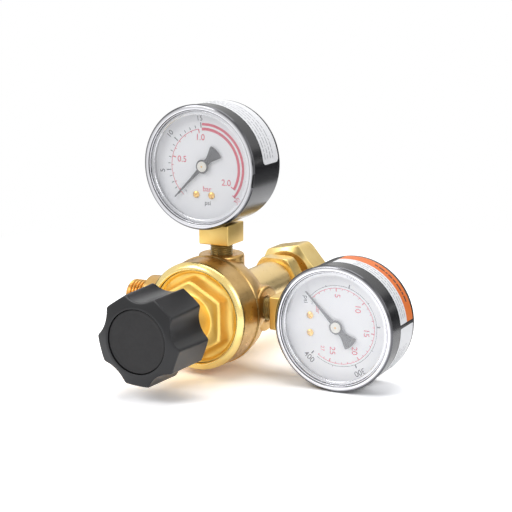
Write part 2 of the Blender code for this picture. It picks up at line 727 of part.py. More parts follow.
def side_port_location():
    return (0.0, -(PORT_STATION + SIDE_PORT_FORWARD), SIDE_PORT_RISE)


def outlet_thread():
    """The male hose connection, beyond its boss."""
    profile = [
        (0.0, OUTLET_BOSS_HEIGHT - 4 * MM),
        (OUTLET_THREAD_RADIUS, OUTLET_BOSS_HEIGHT - 4 * MM),
        (OUTLET_THREAD_RADIUS, OUTLET_LENGTH - MM),
        (OUTLET_THREAD_RADIUS - MM, OUTLET_LENGTH),
        (0.0, OUTLET_LENGTH),
    ]
    return place(turned("outlet_thread", profile, FACETS_MEDIUM), ahead(0.0), AXIS_LEFT)


def outlet_bore(drill_height):
    """Cutter for the outlet passage, with a cone seat at its mouth."""
    cone = OUTLET_SEAT_RADIUS - OUTLET_BORE_RADIUS
    profile = [
        (0.0, drill_height - LINK_DRILL_RADIUS),
        (OUTLET_BORE_RADIUS, drill_height - LINK_DRILL_RADIUS),
        (OUTLET_BORE_RADIUS, OUTLET_LENGTH - cone),
        (OUTLET_SEAT_RADIUS + MM, OUTLET_LENGTH + MM),
        (0.0, OUTLET_LENGTH + MM),
    ]
    return place(turned("outlet_bore", profile, FACETS_SMALL), ahead(0.0), AXIS_LEFT)


def body():
    """The forging with its three bosses, its bores and the drillings that join them."""
    forging = place(body_outside(), ahead(0.0), AXIS_FORWARD)
    centre = ahead(0.0)
    side = side_port_location()
    add(forging, boss("top_boss", TOP_BOSS_HEIGHT, AXIS_UP, centre))
    add(forging, boss("side_boss", SIDE_BOSS_HEIGHT, AXIS_RIGHT, side))
    add(forging, boss("outlet_boss", OUTLET_BOSS_HEIGHT, AXIS_LEFT, centre))
    add(forging, outlet_thread())
    cut(forging, main_bore())
    cut(forging, gauge_port("top_port", TOP_BOSS_HEIGHT, AXIS_UP, centre))
    cut(forging, gauge_port("side_port", SIDE_BOSS_HEIGHT, AXIS_RIGHT, side))
    drill_height = CHAMBER_RADIUS - LINK_DRILL_RADIUS - 0.4 * MM
    cut(forging, outlet_bore(drill_height))
    reach = CHAMBER_FLOOR + 0.5 * MM
    above = (0.0, centre[1], drill_height)
    beside = (-drill_height, centre[1], 0.0)
    cut(forging, drilling("top_drilling", LINK_DRILL_RADIUS, 0.0, reach, AXIS_FORWARD, above))
    cut(forging, drilling("outlet_drilling", LINK_DRILL_RADIUS, 0.0, reach, AXIS_FORWARD, beside))
    floor = SIDE_BOSS_HEIGHT - PORT_DEPTH
    cut(forging, drilling("side_drilling", LINK_DRILL_RADIUS, VALVE_BORE_RADIUS - 2 * MM,
                          floor + 0.5 * MM, AXIS_RIGHT, ahead(-2.0 * MM)))
    return forging


# Valve

def nozzle():
    """Threaded seat with its orifice and a raised lip on the high pressure side."""
    low = CHAMBER_FLOOR - NOZZLE_PLUG
    plug = VALVE_BORE_RADIUS - THREAD_GAP
    flange_low = CHAMBER_FLOOR + REST_GAP
    profile = [
        (ORIFICE_RADIUS, low - NOZZLE_LIP),
        (NOZZLE_LIP_RADIUS, low - NOZZLE_LIP),
        (NOZZLE_LIP_RADIUS + 0.5 * MM, low),
        (plug, low),
        (plug, flange_low),
        (NOZZLE_FLANGE_RADIUS, flange_low),
        (NOZZLE_FLANGE_RADIUS, flange_low + NOZZLE_FLANGE),
        (ORIFICE_RADIUS, flange_low + NOZZLE_FLANGE),
    ]
    return place(turned("nozzle", profile, FACETS_SMALL, bright_brass()), ahead(0.0), AXIS_FORWARD)


def valve_stem():
    """Poppet with the pin that reaches through the nozzle to the diaphragm."""
    front = VALVE_FRONT
    back = VALVE_BACK
    tip = PLATE_STATION - DIAPHRAGM_THICKNESS - DIAPHRAGM_NUT_THICKNESS - 3 * REST_GAP
    profile = [
        (0.0, back - SPIGOT_LENGTH),
        (SPIGOT_RADIUS - 0.3 * MM, back - SPIGOT_LENGTH),
        (SPIGOT_RADIUS, back - SPIGOT_LENGTH + 0.3 * MM),
        (SPIGOT_RADIUS, back),
        (VALVE_RADIUS, back),
        (VALVE_RADIUS, front),
        (STEM_RADIUS, front),
        (STEM_RADIUS, tip),
        (0.0, tip),
    ]
    return place(turned("valve_stem", profile, FACETS_TINY, brass()), ahead(0.0), AXIS_FORWARD)


def valve_seat():
    """Soft disc that closes on the nozzle's lip."""
    high = SEAT_FRONT
    low = high - SEAT_DISC_THICKNESS
    hole = STEM_RADIUS + THREAD_GAP
    profile = [(hole, low), (SEAT_DISC_RADIUS, low), (SEAT_DISC_RADIUS, high), (hole, high)]
    return place(turned("valve_seat", profile, FACETS_TINY, rubber()), ahead(0.0), AXIS_FORWARD)


def valve_spring():
    """Light spring that closes the valve, standing on the floor of the valve bore."""
    low = VALVE_FLOOR + REST_GAP
    high = low + VALVE_SPRING_LENGTH
    radius = SPIGOT_RADIUS + VALVE_SPRING_WIRE + SLIDE_GAP
    obj = coil("valve_spring", radius, VALVE_SPRING_WIRE, low, high, VALVE_SPRING_TURNS, steel(),
               steps=8, sides=4)
    return place(obj, ahead(0.0), AXIS_FORWARD)


# Diaphragm group

def diaphragm():
    """Flexible disc with one convolution, clamped at its edge."""
    low = DIAPHRAGM_STATION
    thick = DIAPHRAGM_THICKNESS
    edge = RING_INNER_RADIUS - SLIDE_GAP
    clamp = CHAMBER_RADIUS - SLIDE_GAP
    crown = clamp - CONVOLUTION_WIDTH
    hole = STUD_RADIUS + SLIDE_GAP
    mid = (clamp + crown) / 2
    top = DIAPHRAGM_RISE
    profile = [
        (hole, low + top),
        (crown, low + top),
        (mid, low + top / 2),
        (clamp, low),
        (edge, low),
        (edge, low + thick),
        (clamp, low + thick),
        (mid, low + thick + top / 2),
        (crown, low + thick + top),
        (hole, low + thick + top),
    ]
    return place(turned("diaphragm", profile, FACETS_MEDIUM, rubber()), ahead(0.0), AXIS_FORWARD)


def diaphragm_plate():
    """Pressed plate between spring and diaphragm, with the stud that passes through."""
    low = PLATE_STATION
    top = low + PLATE_THICKNESS
    stud_end = low - DIAPHRAGM_THICKNESS - DIAPHRAGM_NUT_THICKNESS - 2 * REST_GAP
    profile = [
        (0.0, stud_end),
        (STUD_RADIUS, stud_end),
        (STUD_RADIUS, low),
        (PLATE_RADIUS - 0.4 * MM, low),
        (PLATE_RADIUS, low + 0.4 * MM),
        (PLATE_RADIUS, top),
        (PLATE_BOSS_RADIUS, top),
        (PLATE_BOSS_RADIUS - 0.4 * MM, top + PLATE_BOSS_HEIGHT),
        (0.0, top + PLATE_BOSS_HEIGHT),
    ]
    return place(turned("diaphragm_plate", profile, FACETS_SMALL, brass()), ahead(0.0), AXIS_FORWARD)


def diaphragm_nut():
    """Washer-faced nut on the stud, behind the diaphragm."""
    high = PLATE_STATION - DIAPHRAGM_THICKNESS - 2 * REST_GAP
    low = high - DIAPHRAGM_NUT_THICKNESS
    hole = STUD_RADIUS + THREAD_GAP
    profile = [(hole, low), (DIAPHRAGM_NUT_RADIUS, low), (DIAPHRAGM_NUT_RADIUS, high), (hole, high)]
    return place(turned("diaphragm_nut", profile, FACETS_TINY, brass()), ahead(0.0), AXIS_FORWARD)


def slip_ring():
    """Thin ring that lets the bonnet turn down without dragging the diaphragm."""
    inner = CHAMBER_RADIUS
    outer = RING_INNER_RADIUS - SLIDE_GAP
    low = SLIP_RING_STATION
    high = low + SLIP_RING_THICKNESS
    profile = [(inner, low), (outer, low), (outer, high), (inner, high)]
    return place(turned("slip_ring", profile, FACETS_MEDIUM, steel()), ahead(0.0), AXIS_FORWARD)


# Bonnet, spring and adjusting screw

def bonnet():
    """Screwed-in bonnet: dished flange, wrench hexagon and a nose that guides the screw."""
    outer = RING_INNER_RADIUS - THREAD_GAP
    floor = BONNET_FLANGE
    nose_top = BONNET_HEIGHT
    profile = [
        (0.0, 0.0),
        (outer, 0.0),
        (outer, floor - BONNET_DISH - 0.4 * MM),
        (outer - 0.4 * MM, floor - BONNET_DISH),
        (outer - 2.6 * MM, floor - 0.75 * BONNET_DISH),
        (BONNET_FLATS / 2 + 0.6 * MM, floor),
        (NOSE_BASE_RADIUS, floor + MM),
        (NOSE_BASE_RADIUS, HEX_TOP + MM),
        (NOSE_TIP_RADIUS, nose_top - NOSE_EDGE),
        (NOSE_TIP_RADIUS - NOSE_EDGE, nose_top),
        (0.0, nose_top),
    ]
    obj = place(turned("bonnet", profile, FACETS_LARGE, bright_brass()), ahead(BONNET_STATION),
                AXIS_FORWARD)
    wrench_hex = hexagon("bonnet_hex", BONNET_FLATS, floor - 2 * MM, HEX_TOP)
    bevel = wrench_hex.modifiers.new("edges", "BEVEL")
    bevel.width = BONNET_HEX_EDGE
    bevel.segments = 2
    add(obj, place(wrench_hex, ahead(BONNET_STATION), AXIS_FORWARD))
    cut(obj, bonnet_bore())
    vent_start = SPRING_BORE_RADIUS - 2 * MM
    vent = drilling("bonnet_vent", VENT_RADIUS, vent_start, BONNET_FLATS / 2 + 3 * MM,
                    (0.0, math.radians(210.0), 0.0), ahead(BONNET_STATION + floor + 3.6 * MM))
    return cut(obj, vent)


def bonnet_bore():
    """Cutter for the spring chamber and the screw's thread."""
    mouth = CHAMBER_RADIUS - SLIDE_GAP
    roof = BONNET_ROOF
    thread = SCREW_RADIUS + THREAD_GAP
    profile = [
        (0.0, -MM),
        (mouth, -MM),
        (mouth, BONNET_MOUTH_DEPTH),
        (SPRING_BORE_RADIUS, BONNET_MOUTH_DEPTH + 2 * MM),
        (SPRING_BORE_RADIUS, roof),
        (thread, roof),
        (thread, BONNET_HEIGHT + MM),
        (0.0, BONNET_HEIGHT + MM),
    ]
    return place(turned("bonnet_bore", profile, FACETS_MEDIUM), ahead(BONNET_STATION), AXIS_FORWARD)


def main_spring():
    """Range spring between the diaphragm plate and the button."""
    obj = coil("main_spring", SPRING_MEAN_RADIUS, SPRING_WIRE, 0.0, SPRING_LENGTH, SPRING_TURNS,
               steel())
    return place(obj, ahead(SPRING_STATION), AXIS_FORWARD)


def spring_button():
    """Upper spring plate that the adjusting screw pushes on."""
    radius = SPRING_BORE_RADIUS - SLIDE_GAP
    profile = [
        (0.0, -PLATE_BOSS_HEIGHT),
        (PLATE_BOSS_RADIUS - 0.4 * MM, -PLATE_BOSS_HEIGHT),
        (PLATE_BOSS_RADIUS, 0.0),
        (radius, 0.0),
        (radius, BUTTON_THICKNESS - 0.4 * MM),
        (radius - 0.4 * MM, BUTTON_THICKNESS),
        (0.0, BUTTON_THICKNESS),
    ]
    obj = turned("spring_button", profile, FACETS_SMALL, steel())
    return place(obj, ahead(BUTTON_STATION), AXIS_FORWARD)


def adjusting_screw():
    """Screw with a rounded tip and a knurled head held in the knob."""
    neck = SCREW_LENGTH
    profile = [
        (0.0, 0.0),
        (SCREW_RADIUS - SCREW_TIP, 0.0),
        (SCREW_RADIUS, SCREW_TIP),
        (SCREW_RADIUS, neck),
        (SCREW_HEAD_RADIUS, neck),
        (SCREW_HEAD_RADIUS, neck + SCREW_HEAD_LENGTH - 0.5 * MM),
        (SCREW_HEAD_RADIUS - 0.5 * MM, neck + SCREW_HEAD_LENGTH),
        (0.0, neck + SCREW_HEAD_LENGTH),
    ]
    obj = turned("adjusting_screw", profile, FACETS_SMALL, steel())
    return place(obj, ahead(SCREW_STATION), AXIS_FORWARD)


# Knob

def knob_blank():
    """Turned blank of the knob with its rear cavity, screw seat and cap recess."""
    web_low = KNOB_CAVITY_DEPTH
    web_high = web_low + KNOB_WEB
    shoulder = KNOB_LENGTH - KNOB_SHOULDER
    profile = [
        (KNOB_CAVITY_RADIUS, 0.0),
        (KNOB_RADIUS - KNOB_REAR_EDGE, 0.0),
        (KNOB_RADIUS, KNOB_REAR_EDGE),
        (KNOB_RADIUS, shoulder - 1.2 * MM),
        (KNOB_FLAT_FRONT + 0.5 * MM, shoulder),
        (SCALLOP_FLOOR_FRONT, KNOB_LENGTH),
        (CAP_RADIUS + THREAD_GAP, KNOB_LENGTH),
        (CAP_RADIUS + THREAD_GAP, CAP_FLOOR),
        (SCREW_HEAD_RADIUS + THREAD_GAP, CAP_FLOOR),
        (SCREW_HEAD_RADIUS + THREAD_GAP, web_high),
        (SCREW_RADIUS + THREAD_GAP, web_high),
        (SCREW_RADIUS + THREAD_GAP, web_low),
        (KNOB_CAVITY_RADIUS - MM, web_low),
        (KNOB_CAVITY_RADIUS, web_low - MM),
    ]
    return turned("knob", profile, FACETS_LARGE, black_plastic())


def lobe_flats():
    """Tapered prism that gives each lobe its flat outer face."""
    sections = []
    phase = KNOB_CLOCKING + math.pi / KNOB_LOBES
    for level, share in ((-MM, -MM / KNOB_LENGTH), (KNOB_LENGTH + MM, 1 + MM / KNOB_LENGTH)):
        flat = KNOB_FLAT_REAR + (KNOB_FLAT_FRONT - KNOB_FLAT_REAR) * share
        corner = flat / math.cos(math.pi / KNOB_LOBES)
        sections.append([(x, y, level) for x, y in circle(corner, KNOB_LOBES, phase=phase)])
    return loft("knob_flats", sections)


def scallops():
    """Cutters for the finger scallops, each leaning in towards the front of the knob."""
    shape = bmesh.new()
    facets = FACETS_LARGE
    floors = ((-MM, SCALLOP_FLOOR_REAR), (KNOB_LENGTH + MM, SCALLOP_FLOOR_FRONT))
    for lobe in range(KNOB_LOBES):
        angle = KNOB_CLOCKING + math.pi / KNOB_LOBES + 2 * math.pi * lobe / KNOB_LOBES
        rings = []
        for level, floor in floors:
            reach = floor + SCALLOP_RADIUS
            centre = (reach * math.cos(angle), reach * math.sin(angle))
            points = circle(SCALLOP_RADIUS, facets, centre, angle)
            rings.append([shape.verts.new((x, y, level)) for x, y in points])
        for i in range(facets):
            j = (i + 1) % facets
            shape.faces.new((rings[0][i], rings[0][j], rings[1][j], rings[1][i]))
        for ring in rings:
            shape.faces.new(ring)
    return finished("knob_scallops", to_mesh("knob_scallops", shape), None)


def knob():
    """Five-lobed moulded knob."""
    obj = place(knob_blank(), ahead(KNOB_STATION), AXIS_FORWARD)
    keep(obj, place(lobe_flats(), ahead(KNOB_STATION), AXIS_FORWARD))
    return cut(obj, place(scallops(), ahead(KNOB_STATION), AXIS_FORWARD))


def knob_cap():
    """Plain round cap that covers the screw's head."""
    high = KNOB_LENGTH - CAP_SUNK
    low = high - CAP_THICKNESS
    profile = [
        (0.0, low),
        (CAP_RADIUS, low),
        (CAP_RADIUS, high - 0.3 * MM),
        (CAP_RADIUS - 0.3 * MM, high),
        (0.0, high),
    ]
    obj = turned("knob_cap", profile, FACETS_LARGE, black_plastic())
    return place(obj, ahead(KNOB_STATION), AXIS_FORWARD)


# Gauge shell

def gauge_hole(name, radius, location, rotation, start, end):
    """Cutter for a hole in the gauge's case, in the gauge's frame."""
    profile = [(0.0, start), (radius, start), (radius, end), (0.0, end)]
    facets = FACETS_SMALL if radius > 3 * MM else FACETS_TINY
    return place(turned(name, profile, facets), location, rotation)


def case_screw_places():
    half = CASE_SCREW_SPACING / 2
    return {"left": -half, "right": half}


def gauge_case(prefix, frame):
    """Drawn steel cup with holes for the socket, its screws and the relief plug."""
    front = BEZEL_BACK - REST_GAP
    inner_corner = CASE_CORNER - CASE_WALL
    inner_back = CASE_BACK + CASE_WALL
    profile = [(0.0, CASE_BACK)]
    profile += arc(CASE_RADIUS - CASE_CORNER, CASE_BACK + CASE_CORNER, CASE_CORNER, -90.0, 0.0, 2)
    profile += [(CASE_RADIUS, front), (CASE_INNER_RADIUS, front)]
    profile += arc(CASE_INNER_RADIUS - inner_corner, inner_back + inner_corner, inner_corner,
                   0.0, -90.0, 1)
    profile += [(0.0, inner_back)]
    case = place(turned(prefix + "case", profile, FACETS_LARGE, black_steel()), parent=frame)
    down = (math.radians(90.0), 0.0, 0.0)
    holes = [gauge_hole(prefix + "socket_hole", SOCKET_NECK_RADIUS + SLIDE_GAP, (0.0, 0.0, 0.0), down,
                        CASE_INNER_RADIUS - 3 * MM, CASE_RADIUS + MM)]
    holes.append(gauge_hole(prefix + "relief_hole", RELIEF_RADIUS, (0.0, RELIEF_RISE, 0.0), AXIS_UP,
                            CASE_BACK - MM, inner_back + MM))
    for side, x in case_screw_places().items():
        holes.append(gauge_hole(prefix + "screw_hole_" + side, CASE_SCREW_RADIUS + THREAD_GAP,
                                (x, -CASE_SCREW_DROP, 0.0), AXIS_UP, CASE_BACK - MM, inner_back + MM))
    for hole in holes:
        hole.parent = frame
        cut(case, hole)
    return case


def gauge_socket(prefix, frame):
    """Brass socket: block inside the case, neck through its wall, square shank and thread."""
    half = SOCKET_BLOCK_WIDTH / 2
    block_low = CASE_BACK + CASE_WALL + REST_GAP
    block_bottom = -(CASE_INNER_RADIUS - CASE_CORNER)
    socket = box(prefix + "socket", (-half, block_bottom, block_low),
                 (half, SOCKET_BLOCK_TOP, SOCKET_BLOCK_FRONT), brass(), 0.5 * MM)
    place(socket, parent=frame)
    for side, x in case_screw_places().items():
        hole = gauge_hole(prefix + "tapped_hole_" + side, CASE_SCREW_RADIUS + THREAD_GAP,
                          (x, -CASE_SCREW_DROP, 0.0), AXIS_UP, block_low - MM,
                          CASE_BACK + CASE_SCREW_LENGTH + REST_GAP)
        hole.parent = frame
        cut(socket, hole)
    square = SHANK_SIZE / 2
    shank = box(prefix + "shank", (-square, SHANK_BOTTOM, -square), (square, SHANK_TOP, square),
                edge=SHANK_EDGE)
    end = SHANK_BOTTOM - STEM_THREAD_LENGTH
    down = (math.radians(90.0), 0.0, 0.0)
    neck_profile = [
        (0.0, -block_bottom - MM),
        (SOCKET_NECK_RADIUS, -block_bottom - MM),
        (SOCKET_NECK_RADIUS, -SHANK_TOP + MM),
        (STEM_THREAD_RADIUS, -SHANK_TOP + 2 * MM),
        (STEM_THREAD_RADIUS, -end - 0.7 * MM),
        (STEM_THREAD_RADIUS - 0.7 * MM, -end),
        (0.0, -end),
    ]
    neck = turned(prefix + "socket_neck", neck_profile, FACETS_SMALL)
    add(socket, place(neck, rotation=down, parent=frame))
    add(socket, place(shank, parent=frame))
    bore = gauge_hole(prefix + "socket_bore", STEM_BORE_RADIUS, (0.0, 0.0, 0.0), down,
                      -block_bottom - 8 * MM, -end + MM)
    bore.parent = frame
    cut(socket, bore)
    return socket


def case_screw(prefix, side, x, frame):
    """Screw that holds the case to the socket block, its head on the case's back."""
    head_low = CASE_BACK - REST_GAP - CASE_SCREW_HEAD
    profile = [
        (0.0, head_low),
        (CASE_SCREW_HEAD_RADIUS - 0.4 * MM, head_low),
        (CASE_SCREW_HEAD_RADIUS, head_low + 0.5 * MM),
        (CASE_SCREW_HEAD_RADIUS, CASE_BACK - REST_GAP),
        (CASE_SCREW_RADIUS, CASE_BACK - REST_GAP),
        (CASE_SCREW_RADIUS, CASE_BACK + CASE_SCREW_LENGTH),
        (0.0, CASE_BACK + CASE_SCREW_LENGTH),
    ]
    obj = turned(prefix + "case_screw_" + side, profile, FACETS_TINY, steel())
    return place(obj, (x, -CASE_SCREW_DROP, 0.0), parent=frame)


def relief_plug(prefix, frame):
    """Rubber plug in the case's back that lets go if the tube bursts."""
    outside = CASE_BACK - REST_GAP
    inside = CASE_BACK + CASE_WALL + REST_GAP
    waist = RELIEF_RADIUS - THREAD_GAP
    lip = RELIEF_RADIUS + RELIEF_FLANGE
    profile = [
        (0.0, outside - 0.8 * MM),
        (lip - 0.5 * MM, outside - 0.8 * MM),
        (lip, outside),
        (waist, outside),
        (waist, inside),
        (lip - 0.4 * MM, inside),
        (waist - 0.3 * MM, inside + 0.7 * MM),
        (0.0, inside + 0.7 * MM),
    ]
    obj = turned(prefix + "relief_plug", profile, FACETS_TINY + 4, rubber())
    return place(obj, (0.0, RELIEF_RISE, 0.0), parent=frame)


def gauge_bezel(prefix, frame):
    """Bezel ring: a thin flange over the case's mouth and a plug that grips inside it."""
    front = GAUGE_STEM_SETBACK
    flange_back = front - BEZEL_THICKNESS
    plug_back = flange_back - BEZEL_PLUG
    lens_bore = BEZEL_OPENING + LENS_LEDGE
    profile = [
        (BEZEL_OPENING, front - 0.15 * MM),
        (BEZEL_OPENING + 0.2 * MM, front),
        (BEZEL_RADIUS - 0.9 * MM, front),
        (BEZEL_RADIUS - 0.2 * MM, front - 0.35 * MM),
        (BEZEL_RADIUS, flange_back + 0.3 * MM),
        (BEZEL_RADIUS - 0.2 * MM, flange_back),
        (BEZEL_PLUG_RADIUS, flange_back),
        (BEZEL_PLUG_RADIUS, plug_back),
        (lens_bore, plug_back),
        (lens_bore, flange_back),
        (BEZEL_OPENING, flange_back),
    ]
    bezel = place(turned(prefix + "bezel", profile, FACETS_LARGE, bezel_metal()), parent=frame)
    half = BEZEL_NOTCH_WIDTH / 2
    notch = box(prefix + "bezel_notch", (BEZEL_RADIUS - BEZEL_NOTCH_DEPTH, -half, flange_back - MM),
                (BEZEL_RADIUS + MM, half, front + MM))
    place(notch, rotation=(0.0, 0.0, math.radians(-12.0)), parent=frame)
    return cut(bezel, notch)


def gauge_lens(prefix, frame):
    """Flat clear window, held behind the bezel's lip by the spacer ring."""
    profile = [(0.0, LENS_BACK), (LENS_RADIUS, LENS_BACK), (LENS_RADIUS, LENS_FRONT),
               (0.0, LENS_FRONT)]
    obj = turned(prefix + "lens", profile, FACETS_LARGE, clear_plastic())
    return place(obj, parent=frame)


def spacer_ring(prefix, frame):
    """Ring between the dial and the lens."""
    high = LENS_BACK - REST_GAP
    low = DIAL_FACE + REST_GAP
    outer = LENS_RADIUS
    inner = outer - SPACER_WALL
    profile = [(inner, low), (outer, low), (outer, high), (inner, high)]
    obj = turned(prefix + "spacer_ring", profile, FACETS_LARGE, black_plastic())
    return place(obj, parent=frame)


def dial_screw_places():
    half = DIAL_SCREW_SPACING / 2
    return {"left": -half, "right": half}


def gauge_dial(prefix, frame):
    """Dial plate with a hole for the arbor and two for its screws."""
    back = DIAL_BACK
    radius = DIAL_RADIUS
    hole = ARBOR_RADIUS + 0.8 * MM
    profile = [(hole, back), (radius, back), (radius, DIAL_FACE), (hole, DIAL_FACE)]
    dial = place(turned(prefix + "dial", profile, FACETS_LARGE, white_enamel()), parent=frame)
    for side, x in dial_screw_places().items():
        screw_hole = gauge_hole(prefix + "dial_hole_" + side, DIAL_SCREW_RADIUS + THREAD_GAP,
                                (x, -DIAL_SCREW_DROP, 0.0), AXIS_UP, back - MM, DIAL_FACE + MM)
        screw_hole.parent = frame
        cut(dial, screw_hole)
    return dial


def dial_screw(prefix, side, x, frame):
    """Small pan-headed screw that holds the dial to the movement's post."""
    seat = DIAL_FACE + REST_GAP
    end = FRONT_PLATE_LEVEL + REST_GAP
    profile = [
        (0.0, end),
        (DIAL_SCREW_RADIUS, end),
        (DIAL_SCREW_RADIUS, seat),
        (DIAL_SCREW_HEAD_RADIUS, seat),
        (DIAL_SCREW_HEAD_RADIUS, seat + 0.6 * DIAL_SCREW_HEAD),
        (0.6 * DIAL_SCREW_HEAD_RADIUS, seat + DIAL_SCREW_HEAD),
        (0.0, seat + DIAL_SCREW_HEAD),
    ]
    obj = turned(prefix + "dial_screw_" + side, profile, FACETS_TINY, bright_brass())
    return place(obj, (x, -DIAL_SCREW_DROP, 0.0), parent=frame)


# Gauge movement

def tooth(pitch_radius, angle):
    """Outline points of one tooth, root to root, about a wheel's centre."""
    half = math.pi * GEAR_MODULE / 4 - GEAR_BACKLASH / 2
    slope = math.tan(math.radians(20.0))
    levels = [(-1.2, 1.2), (0.9, -0.9), (0.9, -0.9), (-1.2, 1.2)]
    signs = [-1, -1, 1, 1]
    points = []
    for (step, widen), sign in zip(levels, signs):
        radius = pitch_radius + step * GEAR_MODULE
        width = max(half + widen * GEAR_MODULE * slope, 0.03 * MM)
        turn = angle + sign * width / pitch_radius
        points.append((radius * math.cos(turn), radius * math.sin(turn)))
    return points


def movement_frame(prefix, frame):
    """Two plates joined by pillars, with bearing holes and posts for the dial."""
    low = MOVEMENT_LEVEL
    top = FRONT_PLATE_LEVEL + PLATE_WALL
    left = -DIAL_SCREW_SPACING / 2 - 2.0 * MM
    right = SECTOR_PIVOT.x + 2.4 * MM
    bottom = -DIAL_SCREW_DROP - 2.0 * MM
    upper = 3.8 * MM
    name = prefix + "movement_frame"
    plates = box(name, (left, bottom, low), (right, upper, low + PLATE_WALL), bright_brass())
    place(plates, parent=frame)
    front = box(name + "_front", (left, bottom, FRONT_PLATE_LEVEL), (right, upper, top))
    add(plates, place(front, parent=frame))
    posts = [(x, -DIAL_SCREW_DROP, DIAL_BACK - REST_GAP)
             for x in dial_screw_places().values()]
    inset = PILLAR_RADIUS + 0.3 * MM
    for x in (left + inset, right - inset):
        posts.append((x, upper - inset, top - 0.3 * MM))
    for i, (x, y, end) in enumerate(posts):
        post = gauge_hole(f"{name}_post_{i}", PILLAR_RADIUS, (x, y, 0.0), AXIS_UP,
                          low + 0.3 * MM, end)
        post.parent = frame
        add(plates, post)
    bearings = [(0.0, 0.0), (SECTOR_PIVOT.x, SECTOR_PIVOT.y)]
    for i, (x, y) in enumerate(bearings):
        hole = gauge_hole(f"{name}_bearing_{i}", ARBOR_RADIUS + THREAD_GAP, (x, y, 0.0), AXIS_UP,
                          low - MM, top + MM)
        hole.parent = frame
        cut(plates, hole)
    for side, x in dial_screw_places().items():
        hole = gauge_hole(f"{name}_tapped_{side}", DIAL_SCREW_RADIUS + THREAD_GAP,
                          (x, -DIAL_SCREW_DROP, 0.0), AXIS_UP, FRONT_PLATE_LEVEL + 0.1 * MM, DIAL_FACE)
        hole.parent = frame
        cut(plates, hole)
    return plates


def pinion(prefix, frame):
    """Arbor that carries the pointer, with its pinion between the plates."""
    low = MOVEMENT_LEVEL + 0.1 * MM
    high = POINTER_LEVEL + POINTER_THICKNESS
    profile = [(0.0, low), (ARBOR_RADIUS, low), (ARBOR_RADIUS, high), (0.0, high)]
    arbor = turned(prefix + "pinion", profile, FACETS_TINY, steel())
    outline = []
    for i in range(PINION_TEETH):
        angle = SECTOR_BEARING + 2 * math.pi * (i + 0.5) / PINION_TEETH
        outline += tooth(PINION_PITCH_RADIUS, angle)
    teeth = plate(prefix + "pinion_teeth", outline, GEAR_LEVEL - 0.3 * MM,
                  GEAR_LEVEL + GEAR_THICKNESS + 0.2 * MM)
    place(arbor, parent=frame)
    return add(arbor, place(teeth, parent=frame))


def sector_gear(prefix, frame):
    """Toothed quadrant and its tail arm, turning on its own arbor."""
    mesh_angle = SECTOR_BEARING - math.pi
    pitch = 2 * math.pi / SECTOR_TEETH
    spare = 2
    outline = []
    for i in range(SECTOR_TEETH_CUT):
        outline += tooth(SECTOR_PITCH_RADIUS, mesh_angle + pitch * (i - SECTOR_TEETH_CUT + spare + 1))
    hub = 1.5 * MM
    arm = 0.75 * MM
    for degrees in (160.0, 205.0, 250.0):
        outline.append((hub * math.cos(math.radians(degrees)), hub * math.sin(math.radians(degrees))))
    tail = Vector((math.cos(TAIL_ANGLE), math.sin(TAIL_ANGLE)))
    across = Vector((-tail.y, tail.x))
    for share, side in ((0.0, -1), (1.0, -1), (1.0, 1), (0.0, 1)):
        point = tail * (hub + (TAIL_RADIUS + arm - hub) * share) + across * arm * side
        outline.append(tuple(point))
    for degrees in (355.0, 390.0):
        outline.append((hub * math.cos(math.radians(degrees)), hub * math.sin(math.radians(degrees))))
    obj = plate(prefix + "sector_gear", outline, GEAR_LEVEL, GEAR_LEVEL + GEAR_THICKNESS,
                bright_brass())
    pivot = (SECTOR_PIVOT.x, SECTOR_PIVOT.y, 0.0)
    place(obj, pivot, parent=frame)
    low = MOVEMENT_LEVEL + 0.1 * MM
    high = FRONT_PLATE_LEVEL + PLATE_WALL - 0.1 * MM
    arbor = gauge_hole(prefix + "sector_arbor", ARBOR_RADIUS, pivot, AXIS_UP, low, high)
    arbor.parent = frame
    add(obj, arbor)
    pin = gauge_hole(prefix + "sector_pin", LINK_PIN_RADIUS, (TAIL_PIN.x, TAIL_PIN.y, 0.0), AXIS_UP,
                     GEAR_LEVEL + 0.2 * MM, LINK_LEVEL + LINK_THICKNESS + 0.3 * MM)
    pin.parent = frame
    return add(obj, pin)


def link_ends():
    """Centres of the link's two eyes: over the sector's pin and over the tube's tip post."""
    sagitta = TAIL_RADIUS * (1 - math.cos(SECTOR_TRAVEL / 2))
    direction = (TUBE_TIP - TAIL_PIN).normalized()
    inward = (SECTOR_PIVOT - TAIL_PIN) - direction * (SECTOR_PIVOT - TAIL_PIN).dot(direction)
    eye = TAIL_PIN - inward.normalized() * sagitta / 2
    return eye, TUBE_TIP


def link(prefix, frame):
    """Flat link with an eye at each end, from the tube's tip to the sector's tail."""
    eye, tip = link_ends()
    direction = (tip - eye).normalized()
    across = Vector((-direction.y, direction.x))
    wall = 0.6 * MM
    small_eye = LINK_PIN_RADIUS + THREAD_GAP
    outline = []
    facets = 6
    for centre, radius, start in ((tip, small_eye + wall, -90.0), (eye, LINK_EYE_RADIUS + wall, 90.0)):
        for i in range(facets + 1):
            angle = math.radians(start + 180.0 * i / facets)
            point = centre + (direction * math.cos(angle) + across * math.sin(angle)) * radius
            outline.append(tuple(point))
    obj = plate(prefix + "link", outline, LINK_LEVEL, LINK_LEVEL + LINK_THICKNESS, steel())
    place(obj, parent=frame)
    for part, centre, radius in (("tip", tip, small_eye), ("tail", eye, LINK_EYE_RADIUS)):
        hole = gauge_hole(f"{prefix}link_eye_{part}", radius, (centre.x, centre.y, 0.0), AXIS_UP,
                          LINK_LEVEL - MM, LINK_LEVEL + LINK_THICKNESS + MM)
        hole.parent = frame
        cut(obj, hole)
    return obj


def tube_start():
    """Angle at which the tube leaves the side of the socket block."""
    side = SOCKET_BLOCK_WIDTH / 2 + REST_GAP + TUBE_HALF_THICKNESS / 2
    return math.pi + math.acos(side / TUBE_ARC_RADIUS)


